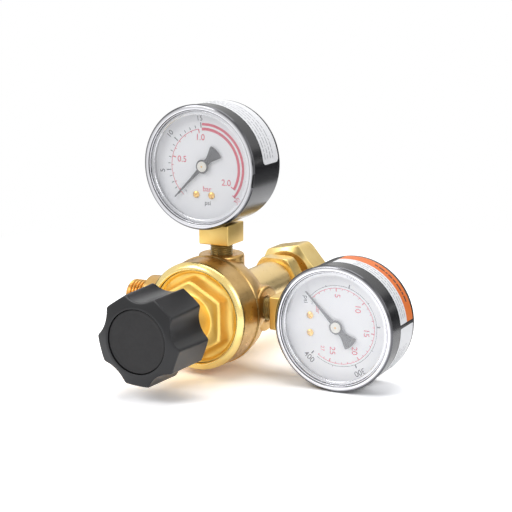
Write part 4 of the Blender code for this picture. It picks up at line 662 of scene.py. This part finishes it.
def inlet_nut():
    """Union nut with chamfered corners and a thread in its mouth."""
    phase = math.radians(10.5)
    outline = hexagon(NUT_FLATS, phase)
    thread = ridges(10.25, 0.65, NUT_PITCH, 0.6, 10.2)
    corner = NUT_FLATS / 2 * WRENCH_CORNER

    def reshape(radius, angle, level):
        if radius > 11.9:
            return smooth_min(radius, outline(angle), 0.2)
        if level < 10.3 and radius > 10.0:
            return min(radius, thread(angle, level) + max(0.0, radius - bore))
        return radius
    bore, hole, seat = 10.9, 6.6, 10.6
    profile = [
        (11.6, 0.0), (corner - 1.1, 0.0), (corner, 1.1), (corner, 11.8), (12.6, NUT_LENGTH),
        (hole, NUT_LENGTH), (hole, seat), (bore, seat), (bore, 0.7), (11.6, 0.0),
    ]
    data = lathe("nut", dense(soften(profile, 0.25)[:-1], 0.16), 192, reshape, phase, True)
    piece("union_nut", data, INLET, "nut_brass", "brass", ["inlet_nut"], 35.0, "nut")


def inlet_nipple():
    """Nipple with its nose, head, stem and wrench hexagon."""
    outline = hexagon(NIPPLE_FLATS, 0.0)
    corner = NIPPLE_FLATS / 2 * WRENCH_CORNER
    low, high = 18.5, 26.5      # of the hexagon
    stem, head = 6.2, 10.5

    def reshape(radius, angle, level):
        if radius > 11.0 and level > low - 1.0:
            return smooth_min(radius, outline(angle), 0.2)
        return radius
    profile = [
        (0.0, 12.0), (2.0, 12.0), (2.0, 5.3), (4.4, 5.3), (5.6, 6.1), (stem, 7.7), (head, 8.2),
        (head, 10.3), (stem, 10.3), (stem, low), (corner - 1.0, low), (corner, low + 1.0),
        (corner, high - 1.0), (corner - 1.0, high), (6.7, high), (6.7, high + 3.0),
    ]
    data = lathe("nipple", dense(soften(profile, 0.25), 0.2), 192, reshape)
    piece("nipple", data, INLET, "nut_brass", "brass", ["inlet_nipple"], 35.0)


# Bonnet and knob

def bonnet():
    """Dished flange, wrench hexagon with rounded edges, and the nose behind the knob."""
    outline = hexagon(BONNET_FLATS, math.radians(90.0), 1.6)
    flange = RING_INNER - 0.15
    floor = BONNET_FLANGE
    edge = 1.5
    columns = 192
    outside = soften([(flange, -floor), (flange, 1.2, 0.25), (flange - 0.7, 0.9, 0.4),
                      (flange - 1.3, 0.05, 0.5)], level=floor)
    wall = [(1.0, floor - 0.1), (0.72, floor + 0.1), (0.46, floor + 0.55), (0.25, floor + 1.3),
            (0.1, floor + 2.3), (0.025, floor + 3.4), (0.0, HEX_TOP - edge - 0.2)]
    feet = len(wall)
    wall += [(-edge + edge * math.cos(math.radians(a)), HEX_TOP - edge + edge * math.sin(math.radians(a)))
             for a in range(0, 91, 15)]
    wall.append((-edge - 0.25, HEX_TOP))
    base, tip = NOSE_BASE - 2.0, NOSE_TIP - 1.2
    nose = soften([(base + 0.5, HEX_TOP), (base, HEX_TOP + 0.5), (tip, BONNET_HEIGHT - 1.0),
                   (tip - 1.0, BONNET_HEIGHT), (4.9, BONNET_HEIGHT), (4.9, BONNET_HEIGHT - 4.0)])
    shape = bmesh.new()
    rings = []
    for kind, points in (("round", outside), ("hex", wall), ("round", nose)):
        for at, (offset, level) in enumerate(points):
            ring = []
            for i in range(columns):
                angle = 2 * math.pi * i / columns
                radius = offset
                if kind == "hex":
                    # below the wall the offset is a share of the dish between hexagon and flange
                    dish = min(3.2, flange - 1.4 - outline(angle)) if at < feet else 1.0
                    radius = outline(angle) + offset * dish
                ring.append(around(shape, radius, angle, level))
            rings.append(ring)
    bridge(shape, rings)
    piece("bonnet_shell", mesh_of(shape, "bonnet_shell"), MAIN @ placed(z=BONNET_STATION),
          "bonnet_brass", "bright_brass", ["bonnet"], 50.0)


def knob():
    """Five-lobed knob: a turned blank, flat lobes and scallops that lean in towards the front."""
    round_inside = 13.9

    def reshape(radius, angle, level):
        if radius < round_inside:
            return radius
        share = min(max(level / KNOB_LENGTH, 0.0), 1.0)
        lobe = 2 * math.pi / KNOB_LOBES
        turn = (angle - KNOB_CLOCKING) % lobe
        from_lobe = (turn + lobe / 2) % lobe - lobe / 2
        from_gap = turn - lobe / 2
        flat = (KNOB_RADIUS - 0.95 - 0.75 * share) / math.cos(from_lobe)
        floor = SCALLOP_REAR + 0.2 * share
        reach = floor + SCALLOP_RADIUS
        across = reach * math.sin(from_gap)
        at = smooth_min(radius, flat, 1.0)
        if abs(across) < SCALLOP_RADIUS:
            scallop = reach * math.cos(from_gap) - math.sqrt(SCALLOP_RADIUS ** 2 - across ** 2)
            at = smooth_min(at, scallop, 1.1)
        return at
    web_low = 11.1
    front = KNOB_LENGTH
    cap = 13.2
    profile = [
        (KNOB_CAVITY, 0.8), (KNOB_CAVITY + 0.5, 0.0), (KNOB_RADIUS - 0.6, 0.0, 0.4),
        (KNOB_RADIUS, 0.6, 0.4), (KNOB_RADIUS, front - 2.5, 0.9),
        (KNOB_RADIUS - 1.2, front - 1.3, 0.7), (14.3, front, 0.8),
        (cap + 0.15, front, 0.2), (cap + 0.15, front - 1.2), (5.0, front - 1.3), (5.0, web_low),
        (KNOB_CAVITY - 1.0, web_low), (KNOB_CAVITY, web_low - 1.0), (KNOB_CAVITY, 0.8),
    ]
    data = lathe("knob_shell", dense(soften(profile, 0.3)[:-1], 0.5), 320, reshape, 0.0, True)
    matrix = MAIN @ placed(z=KNOB_STATION)
    piece("knob_shell", data, matrix, "black_plastic", "black_plastic", ["knob"], 60.0, "knob")
    cover = soften([(0.0, -1.9), (cap - 0.1, -1.9), (cap - 0.1, -0.1, 0.3), (cap - 0.8, 0.0, 0.2),
                    (cap - 1.5, -0.1, 0.3), (0.0, -0.05)], 0.2, front - 0.4)
    piece("knob_cover", lathe("knob_cover", cover, 128), matrix, "cap_plastic", "black_plastic",
          ["knob_cap"], body="knob")


# Gauges

def socket(prefix, matrix):
    """Square shank with rounded edges, its threaded stem and its neck in the case."""
    half = SHANK_SIZE / 2
    shank = block("shank", (-half, SHANK_BOTTOM, -half), (half, SHANK_TOP, half), 0.55)
    piece(prefix + "shank", shank, matrix, "shank_brass", "brass", [prefix + "socket"])
    low = -SHANK_BOTTOM - 0.5
    end = low + 11.0
    start = low + 0.6
    thread = ridges(4.4, 0.52, STEM_PITCH, start, end)

    def reshape(radius, angle, level):
        return min(radius, thread(angle, level)) if level > start and radius > 4.6 else radius
    down = matrix @ placed(turn=90.0, axis="X")
    profile = soften([(0.0, end), (4.2, end), (4.92, end - 0.7), (4.92, low)], 0.2)
    stem = lathe("stem", dense(profile, STEM_PITCH / 10), 64, reshape)
    # the stem's darker brass is painted shade
    piece(prefix + "stem", stem, down, "painted_shade_thread_brass", "brass", sharp=60.0)
    neck = lathe("neck", [(4.2, -SHANK_TOP + 0.5), (4.2, 22.0)], 48)
    piece(prefix + "neck", neck, down, "nut_brass", "brass")


def screw(name, head, columns, matrix, turn, slot, finish, stands_for):
    """A screw whose slot is cut by a block between two corners, turned by an angle in radians."""
    made = piece(name, lathe("screw", head, columns), matrix, finish, stands_for=[stands_for])
    carve(made, put("slot", block("slot", *slot), matrix @ Matrix.Rotation(turn, 4, "Z")))


def case(prefix, matrix):
    """Enamelled cup with a rolled back corner, its two rear screws and its relief plug."""
    inner = CASE_RADIUS - 0.8
    profile = [(0.0, CASE_BACK), (CASE_RADIUS - 3.6, CASE_BACK)]
    profile += arc(CASE_RADIUS - 2.5, CASE_BACK + 2.5, 2.5, -90.0, 0.0, 10)
    profile += [(CASE_RADIUS, CASE_FRONT - 0.3), (CASE_RADIUS - 0.2, CASE_FRONT), (inner, CASE_FRONT),
                (inner, CASE_BACK + 0.8), (0.0, CASE_BACK + 0.8)]
    cup = lathe("cup", soften(profile, 0.15))
    piece(prefix + "cup", cup, matrix, "black_steel", stands_for=[prefix + "case"])
    head = soften([(0.0, -1.6), (1.3, -1.5), (2.15, -0.9), (2.2, -0.1), (0.0, -0.1)], 0.25, CASE_BACK)
    slot = (-3.0, -0.25, CASE_BACK - 3.0), (3.0, 0.25, CASE_BACK - 1.0)
    for side, x, turn in (("left", -2.6, 0.5), ("right", 2.6, 1.9)):
        screw(f"{prefix}back_screw_{side}", head, 40, matrix @ placed(x, -15.0), turn, slot, "steel",
              f"{prefix}case_screw_{side}")
    plug = soften([(0.0, -0.85), (2.2, -0.85), (2.5, -0.6), (3.0, -0.6), (3.3, -1.0), (4.7, -1.0),
                   (5.5, -0.2), (5.4, 0.2), (0.0, 0.2)], 0.25, CASE_BACK)
    piece(prefix + "blowout_plug", lathe("plug", plug, 64), matrix @ placed(y=9.0), "rubber",
          stands_for=[prefix + "relief_plug"])


def bezel(prefix, matrix):
    """Polished ring with a rolled outer edge, a stepped inner lip and a notch for opening it."""
    front = GAUGE_FRONT
    back = front - 1.1
    inner, outer = BEZEL_OPENING, BEZEL_RADIUS
    profile = [
        (inner, back - 0.1), (inner, front - 0.5, 0.1), (24.2, front - 0.5, 0.08),
        (24.3, front - 0.12, 0.12), (24.7, front, 0.25), (25.5, front - 0.02, 0.6),
        (26.3, front - 0.42, 0.5), (outer, back + 0.1, 0.3), (outer - 0.25, back - 0.1),
        (24.9, back - 0.1), (24.9, back - 2.2), (24.25, back - 2.2), (24.25, back - 0.1),
    ]
    ring = lathe("ring", soften(profile, 0.12), 200, close=True)
    ring = piece(prefix + "ring", ring, matrix, "bezel_metal", stands_for=[prefix + "bezel"])
    notch = block("notch", (outer - 0.9, -3.0, back - 1.0), (outer + 1.0, 3.0, front + 1.0), 0.3)
    carve(ring, put("notch", notch, matrix @ placed(turn=-8.5)))
    # the notch's cut faces are painted black as shade in the notch
    second_finish(ring, "black_plastic", lambda face: face.area > NOTCH_FACE * MM * MM)


def window(prefix, matrix):
    """Pane with a moulded rim, and the ring between it and the dial."""
    low, top = LENS_BACK + 0.02, LENS_BACK + 1.0
    pane = soften([(0.0, low), (24.0, low), (24.0, top), (23.65, top), (23.45, top + 0.35),
                   (22.5, top + 0.35), (22.2, top), (0.0, top)], 0.12)
    pane = piece(prefix + "window", lathe("window", pane), matrix, "clear_plastic",
                 stands_for=[prefix + "lens"])

    def rim(face):
        return face.center.xy.length > 22.0 * MM and face.center.z > (LENS_BACK + 0.5) * MM
    second_finish(pane, "clear_edge", rim)
    low, top = DIAL_FACE + 0.25, LENS_BACK - 0.25
    liner = soften([(23.2, low), (24.1, low), (24.1, top), (23.2, top)], 0.15)
    piece(prefix + "liner", lathe("liner", liner, 128, close=True), matrix, "ring_plastic",
          "black_plastic", [prefix + "spacer_ring"])


def pointer_outline():
    """Outline of the pointer along +X: needle, hub and fan-shaped tail."""
    side = [(19.24, 0.22), (8.0, 0.55)]
    side += arc(0.0, 0.0, 2.7, 20.0, 150.0, 13)
    side += [(-4.2, 1.35), (-6.6, 2.3), (-8.7, 3.3), (-9.1, 3.2), (-9.5, 2.5), (-9.8, 1.2)]
    return [(19.64, 0.0)] + side + [(-9.85, 0.0)] + [(x, -y) for x, y in reversed(side)]


def pointer(prefix, matrix):
    """Pointer, its pressed hub ring and its cream cap with a brass rivet."""
    body_name = prefix + "pointer"
    outline = pointer_outline()
    shape = bmesh.new()
    rings = []
    for inset, level in ((0.0, 0.0), (0.0, 0.25), (0.08, 0.35)):
        ring = []
        for x, y in outline:
            pull = 1.0 - inset / math.hypot(x, y)
            ring.append(shape.verts.new((x * pull, y * pull if abs(y) > inset else 0.0, level)))
        rings.append(ring)
    bridge(shape, rings)
    shape.faces.new(rings[0])
    shape.faces.new(rings[-1])
    at = matrix @ placed(z=POINTER_LEVEL, turn=POINTER_REST)
    piece(prefix + "hand", mesh_of(shape, "hand"), at, "pointer_black", stands_for=[body_name],
          body=body_name)
    low = POINTER_LEVEL + 0.35
    hub = soften([(2.1, 0.0), (2.95, 0.0), (2.95, 0.3), (2.6, 0.5), (2.1, 0.3)], 0.1, low)
    piece(prefix + "hub", lathe("hub", hub, 64, close=True), matrix, "pointer_black", body=body_name)
    cap = soften([(0.0, 0.0), (2.22, 0.0), (2.22, 0.7, 0.2), (0.0, 0.8)], 0.1, low)
    piece(prefix + "hub_cap", lathe("cap", cap, 64), matrix, "cap_cream", "bright_brass",
          [prefix + "pointer_cap"], body=body_name)
    rivet = soften([(0.0, 0.6), (0.42, 0.6), (0.42, 0.84), (0.0, 0.92)], 0.08, low)
    piece(prefix + "rivet", lathe("rivet", rivet, 32), matrix, "bright_brass", body=body_name)


def dial(prefix, matrix):
    """White disc, its two screws and the small pin that the pointer rests against."""
    low = DIAL_FACE - 0.5
    face = soften([(0.0, low), (DIAL_RADIUS, low), (DIAL_RADIUS, DIAL_FACE), (0.0, DIAL_FACE)], 0.1)
    piece(prefix + "face", lathe("face", face, 128), matrix, "white_enamel",
          stands_for=[prefix + "dial"])
    seat = DIAL_FACE + 0.05
    head = soften([(0.0, 0.0), (1.5, 0.0), (1.5, 0.4, 0.3), (0.8, 0.85, 0.3), (0.0, 0.9)], 0.1, seat)
    slot = (-2.0, -0.17, seat + 0.5), (2.0, 0.17, seat + 2.0)
    for side, x, turn in (("left", -3.7, 0.9), ("right", 3.7, 2.4)):
        screw(f"{prefix}face_screw_{side}", head, 48, matrix @ placed(x, -12.18), turn, slot,
              "bright_brass", f"{prefix}dial_screw_{side}")
    angle = math.radians(POINTER_REST + 6.5)
    pin = soften([(0.0, 0.0), (0.4, 0.0), (0.4, 0.95), (0.0, 1.05)], 0.08, DIAL_FACE)
    at = matrix @ placed(14.2 * math.cos(angle), 14.2 * math.sin(angle))
    piece(prefix + "stop_pin", lathe("pin", pin, 32), at, "steel", "bright_brass")


# Dial print

def value_angle(value, scale):
    """Dial angle in degrees of a value on a scale of (zero angle, sweep, full value)."""
    return scale[0] - scale[1] * value / scale[2]


def ink_band(shape, inner, outer, start, end):
    """A flat band of print between two radii and two dial angles in degrees."""
    steps = max(1, math.ceil(abs(end - start) / 2.0))
    rows = []
    for i in range(steps + 1):
        angle = math.radians(start + (end - start) * i / steps)
        rows.append([around(shape, r, angle, PRINT_LEVEL) for r in (inner, outer)])
    for a, b in zip(rows, rows[1:]):
        shape.faces.new((a[0], b[0], b[1], a[1]))


def ink_tick(shape, angle, inner, outer, width):
    turn = math.degrees(width / 2 / outer)
    ink_band(shape, inner, outer, angle - turn, angle + turn)


def ink_ticks(shape, values, angle_of, step, major, minor):
    """Marks at values, longer at each step. major and minor: inner radius, outer radius and width."""
    for value in values:
        ink_tick(shape, angle_of(value), *(minor if value % step else major))


def ink_words(shape, centre, words):
    """Words by their middles on the dial: (text, x, y, height, turn). The letters are made in metres."""
    for text, x, y, height, turn in words:
        curve = bpy.data.curves.new("words", "FONT")
        curve.body = text
        curve.size = height * MM / LETTER_HEIGHT
        curve.align_x = "CENTER"
        curve.align_y = "CENTER"
        curve.offset = height * MM * 0.008
        obj = put("words", curve)
        depsgraph = bpy.context.evaluated_depsgraph_get()
        data = bpy.data.meshes.new_from_object(obj.evaluated_get(depsgraph))
        at = Matrix.Translation((x - centre[0], y - centre[1], PRINT_LEVEL))
        data.transform(at @ Matrix.Rotation(math.radians(turn), 4, "Z") @ Matrix.Scale(1 / MM, 4))
        shape.from_mesh(data)
        bpy.data.objects.remove(obj, do_unlink=True)
        bpy.data.curves.remove(curve)
        bpy.data.meshes.remove(data)


def print_piece(name, shape, matrix, finish):
    return piece(name, mesh_of(shape, name, up=True), matrix, finish, "pointer_black")


def low_print():
    black, red = bmesh.new(), bmesh.new()

    def psi_angle(psi):
        return value_angle(psi, LOW_SCALE)

    def bar_angle(bar):
        return psi_angle(bar * BAR_IN_PSI)

    def tenth_angle(tenth):
        return bar_angle(tenth / 10)
    ink_ticks(black, range(1, 16), psi_angle, 5, (16.7, 18.9, 0.44), (16.7, 17.9, 0.32))
    ink_band(red, 16.05, 16.3, bar_angle(0.02), bar_angle(1.0))
    ink_ticks(red, range(1, 11), tenth_angle, 5, (14.5, 16.2, 0.46), (15.4, 16.2, 0.3))
    ink_band(red, 17.55, 18.65, 94.0, psi_angle(30))
    ink_band(red, 15.5, 16.7, 94.8, bar_angle(2.0))
    ink_tick(red, psi_angle(30), 17.0, 18.9, 0.5)
    ink_tick(red, bar_angle(2.0), 14.4, 16.6, 0.5)
    ink_words(black, LOW_CENTRE, (
        ("5", -20.0, -2.96, 2.2, 95.0), ("10", -16.1, 12.8, 2.2, 51.0), ("15", -1.65, 20.02, 2.1, 5.0),
        ("psi", 1.75, -15.54, 1.9, 0.0)))
    ink_words(red, LOW_CENTRE, (
        ("0.5", -10.43, 2.37, 2.6, 0.0), ("1.0", -1.5, 12.09, 2.6, 0.0), ("2.0", 10.72, -6.43, 2.6, 0.0),
        ("30", 16.0, -13.84, 2.2, 47.0), ("bar", 1.48, -9.65, 2.2, 0.0)))
    at = LOW @ placed(*LOW_CENTRE)
    print_piece("low_scale_black", black, at, "print_black")
    print_piece("low_scale_red", red, at, "print_red")


def high_print():
    black, red = bmesh.new(), bmesh.new()

    def psi_angle(psi):
        return value_angle(psi, HIGH_SCALE)

    def bar_angle(bar):
        return value_angle(bar, HIGH_BARS)
    ink_band(black, 16.95, 17.13, psi_angle(5), psi_angle(388))
    ink_ticks(black, range(50, 400, 50), psi_angle, 100, (17.0, 18.6, 0.5), (17.0, 17.7, 0.24))
    ink_tick(black, psi_angle(400), 16.3, 17.9, 0.5)
    ink_band(red, 15.85, 16.08, bar_angle(0.2), bar_angle(27))
    ink_ticks(red, range(1, 28), bar_angle, 5, (14.6, 15.95, 0.46), (15.2, 15.95, 0.26))
    ink_words(black, HIGH_CENTRE, (
        ("100", -21.6, 6.4, 2.3, 72.0), ("200", -1.9, 22.4, 2.3, 5.0), ("300", 18.07, 10.08, 2.4, -61.0),
        ("400", 14.25, -12.79, 2.4, 48.0), ("psi", -10.13, -14.11, 2.1, 0.0)))
    ink_words(red, HIGH_CENTRE, (
        ("5", -13.07, 0.14, 2.5, 0.0), ("10", -8.57, 9.25, 2.5, 0.0), ("15", 1.13, 12.98, 2.5, 0.0),
        ("20", 9.24, 7.66, 2.5, 0.0), ("25", 10.35, -2.26, 2.5, 0.0), ("27", 9.8, -6.74, 1.6, 0.0),
        ("bar", -6.47, -8.68, 1.9, 0.0)))
    at = HIGH @ placed(*HIGH_CENTRE)
    print_piece("high_scale_black", black, at, "print_black")
    print_piece("high_scale_red", red, at, "print_red")


# Labels on the cases

def sticker(name, matrix, start, end, low, high, finish, corners=(0.0, 0.0)):
    """A thin label wrapped on the case between two angles and two levels. corners: rounding per end."""
    radius = CASE_RADIUS + 0.06
    shape = bmesh.new()
    rows, columns = 28, 48
    grid = []
    for i in range(rows + 1):
        level = low + (high - low) * (0.5 - 0.5 * math.cos(math.pi * i / rows))
        edge = min(level - low, high - level)
        ends = []
        for size in corners:
            inset = size - math.sqrt(max(size * size - (size - min(edge, size)) ** 2, 0.0))
            ends.append(inset / radius)
        first, last = math.radians(start) + ends[0], math.radians(end) - ends[1]
        grid.append([around(shape, radius, first + (last - first) * j / columns, level)
                     for j in range(columns + 1)])
    for a, b in zip(grid, grid[1:]):
        for j in range(columns):
            shape.faces.new((a[j], a[j + 1], b[j + 1], b[j]))
    piece(name, mesh_of(shape, name), matrix, finish, "white_enamel")


def label_rows(name, matrix, start, end, levels, height, finish="print_grey"):
    """Rows of plain bars, as print that is too small to read, round a case between two angles."""
    radius = CASE_RADIUS + 0.1
    gap = math.degrees(0.55 / radius)
    lengths = (2.6, 1.2, 3.4, 1.8, 2.2, 0.9, 2.9, 1.5, 3.8, 1.1, 2.0)
    shape = bmesh.new()
    for row, level in enumerate(levels):
        angle, i = start, row * 3
        while True:
            wide = math.degrees(lengths[i % len(lengths)] / radius)
            if angle + wide > end:
                break
            steps = max(2, math.ceil(wide / 2.0))
            turns = [math.radians(angle + wide * k / steps) for k in range(steps + 1)]
            edge = [[around(shape, radius, turn, level + side * height / 2) for side in (-1, 1)]
                    for turn in turns]
            for c, d in zip(edge, edge[1:]):
                shape.faces.new((c[0], d[0], d[1], c[1]))
            angle += wide + gap
            i += 1
    piece(name, mesh_of(shape, name), matrix, finish, "pointer_black")


def stickers():
    rear = CASE_BACK + 2.6
    sticker("low_label", LOW, 3.0, 118.0, rear + 0.7, 9.8, "label_white", (2.0, 1.0))
    sticker("high_label_front", HIGH, 95.0, 190.0, 2.8, 9.4, "label_white")
    sticker("high_label_rear", HIGH, 95.0, 190.0, rear + 1.0, 2.8, "label_orange")
    sticker("high_label_lower", HIGH, 20.0, 91.5, rear + 1.0, 9.4, "label_white", (1.0, 0.6))
    label_rows("low_label_rows", LOW, 8.0, 112.0, [7.9 - 2.3 * i for i in range(4)], 0.40)
    label_rows("high_label_rows", HIGH, 100.0, 172.0, [7.9 - 1.8 * i for i in range(3)], 0.34)
    label_rows("high_lower_rows", HIGH, 32.0, 74.0, [7.2 - 2.0 * i for i in range(4)], 0.34)
    label_rows("high_orange_row", HIGH, 112.0, 160.0, [-0.4], 0.9, "print_black")


def gauges():
    for prefix, matrix in (("low_", LOW), ("high_", HIGH)):
        for build in (socket, case, bezel, window, dial, pointer):
            build(prefix, matrix)
    low_print()
    high_print()
    stickers()


def dress_cad_nodes():
    """Gives every CAD node that still shows a worked-out material in its slot."""
    slots = {part["node"]: part["material_slot"] for part in frame["record"]["subparts"]}
    for name, shown in frame["nodes"].items():
        made = FINISH[slots[name]]
        if shown.material_slots:
            for slot in shown.material_slots:
                slot.material = made
        else:
            shown.data.materials.append(made)


# Studio, in metres

def ray_kinds(tree):
    """1 for camera, glossy and transmission rays, 0 for the rest."""
    path = node(tree, "LightPath", {})
    last = path["Is Camera Ray"]
    for kind in ("Is Glossy Ray", "Is Transmission Ray"):
        last = node(tree, "Math", {0: last, 1: path[kind]}, operation="MAXIMUM")[0]
    return last


def floor():
    """White floor that keeps the shadow near the object and melts into the white backdrop."""
    plain = (0.8, 0.8, 0.8)
    made, tree, shader, _ = new_material("floor_white", plain, 0.9)
    shader.inputs["Specular IOR Level"].default_value = 0.0
    seen = ray_kinds(tree)
    tree.links.new(blend_colours(tree, seen, plain, (1.60, 1.59, 1.59)), shader.inputs["Base Color"])
    place = node(tree, "NewGeometry", {})["Position"]
    middle = (0.02, -0.08, FLOOR_LEVEL)
    reach = node(tree, "VectorMath", {0: place, 1: middle}, operation="DISTANCE")["Value"]
    far = spread(tree, reach, 0.0, 1.0, 0.16, 0.34)
    share = node(tree, "Math", {0: far, 1: seen}, operation="MULTIPLY")[0]
    glow = node(tree, "Emission", {})[0]
    mix = node(tree, "MixShader", {0: share, 1: shader.outputs[0], 2: glow})[0]
    tree.links.new(mix, tree.nodes["Material Output"].inputs["Surface"])
    bpy.ops.mesh.primitive_plane_add(size=14.0, location=(0.0, 0.0, FLOOR_LEVEL))
    plane = bpy.context.object
    plane.name = "studio_floor"
    plane.data.materials.append(made)


def world():
    """A cool grey room that lights the object, and white for what the camera and reflections see."""
    made = bpy.data.worlds.new("studio")
    bpy.context.scene.world = made
    made.use_nodes = True
    tree = made.node_tree
    tree.nodes.clear()
    room = node(tree, "Background", {"Color": (0.92, 0.95, 1.0, 1.0), "Strength": 0.42})[0]
    white = node(tree, "Background", {"Color": (1.0, 1.0, 1.0, 1.0), "Strength": 1.0})[0]
    mix = node(tree, "MixShader", {0: ray_kinds(tree), 1: room, 2: white})[0]
    node(tree, "OutputWorld", {0: mix})


def facing(obj, location, target):
    obj.location = location
    obj.rotation_euler = (Vector(target) - Vector(location)).to_track_quat("-Z", "Y").to_euler()


def lamp(name, location, target, width, height, power):
    data = bpy.data.lights.new(name, "AREA")
    data.shape = "RECTANGLE"
    data.size = width
    data.size_y = height
    data.energy = power
    facing(put(name, data), location, target)


def card(name, location, target, width, height, level):
    """A dark card that only reflections see, as used beside polished metal."""
    made = new_material(name, (level, level, level), 0.9)[0]
    x, y = width / 2, height / 2
    data = bpy.data.meshes.new(name)
    data.from_pydata([(-x, -y, 0.0), (x, -y, 0.0), (x, y, 0.0), (-x, y, 0.0)], [], [(0, 1, 2, 3)])
    data.materials.append(made)
    obj = put(name, data)
    facing(obj, location, target)
    for ray in ("camera", "diffuse", "shadow", "transmission"):
        setattr(obj, "visible_" + ray, False)


def lights():
    aim = (0.02, -0.08, 0.02)
    lamp("key", (-0.55, -0.85, 0.85), aim, 0.6, 0.6, 6.2)
    lamp("side", (1.0, -0.45, 0.6), aim, 0.5, 0.7, 3.0)
    lamp("top", (0.0, 0.15, 1.1), aim, 0.8, 0.8, 6.0)
    card("card_back_left", (-0.27, 0.20, 0.018), aim, 0.40, 0.08, 0.02)
    card("card_back_right", (0.27, 0.30, 0.012), aim, 0.45, 0.075, 0.03)
    card("card_low_right", (0.21, 0.19, FLOOR_LEVEL + 0.002), (0.21, 0.19, 1.0), 0.24, 0.34, 0.14)
    card("card_mid_right", (0.21, 0.27, 0.105), aim, 0.40, 0.07, 0.16)
    card("card_front", (0.5, -1.25, 0.0), aim, 0.5, 0.12, 0.03)


def camera():
    """Camera at the photograph's place, found by fitting the object's own points."""
    turn, rise, roll = math.radians(28.204), math.radians(11.9277), math.radians(-0.4129)
    back = Vector((math.sin(turn) * math.cos(rise), -math.cos(turn) * math.cos(rise), math.sin(rise)))
    right = Vector((math.cos(turn), math.sin(turn), 0.0))
    up = back.cross(right)
    across = right * math.cos(roll) + up * math.sin(roll)
    above = up * math.cos(roll) - right * math.sin(roll)
    place = Vector((325.7, -650.9, 161.4)) * MM
    data = bpy.data.cameras.new("view")
    data.sensor_width = 36.0
    data.lens = 109.95
    data.clip_start = 0.01
    data.clip_end = 40.0
    basis = Matrix((across, above, back)).transposed().to_4x4()
    bpy.context.scene.camera = put("view", data, Matrix.Translation(place) @ basis)


dress_cad_nodes()
body()
inlet_nut()
inlet_nipple()
bonnet()
knob()
gauges()
floor()
world()
lights()
camera()
bpy.context.scene.view_settings.view_transform = "Standard"
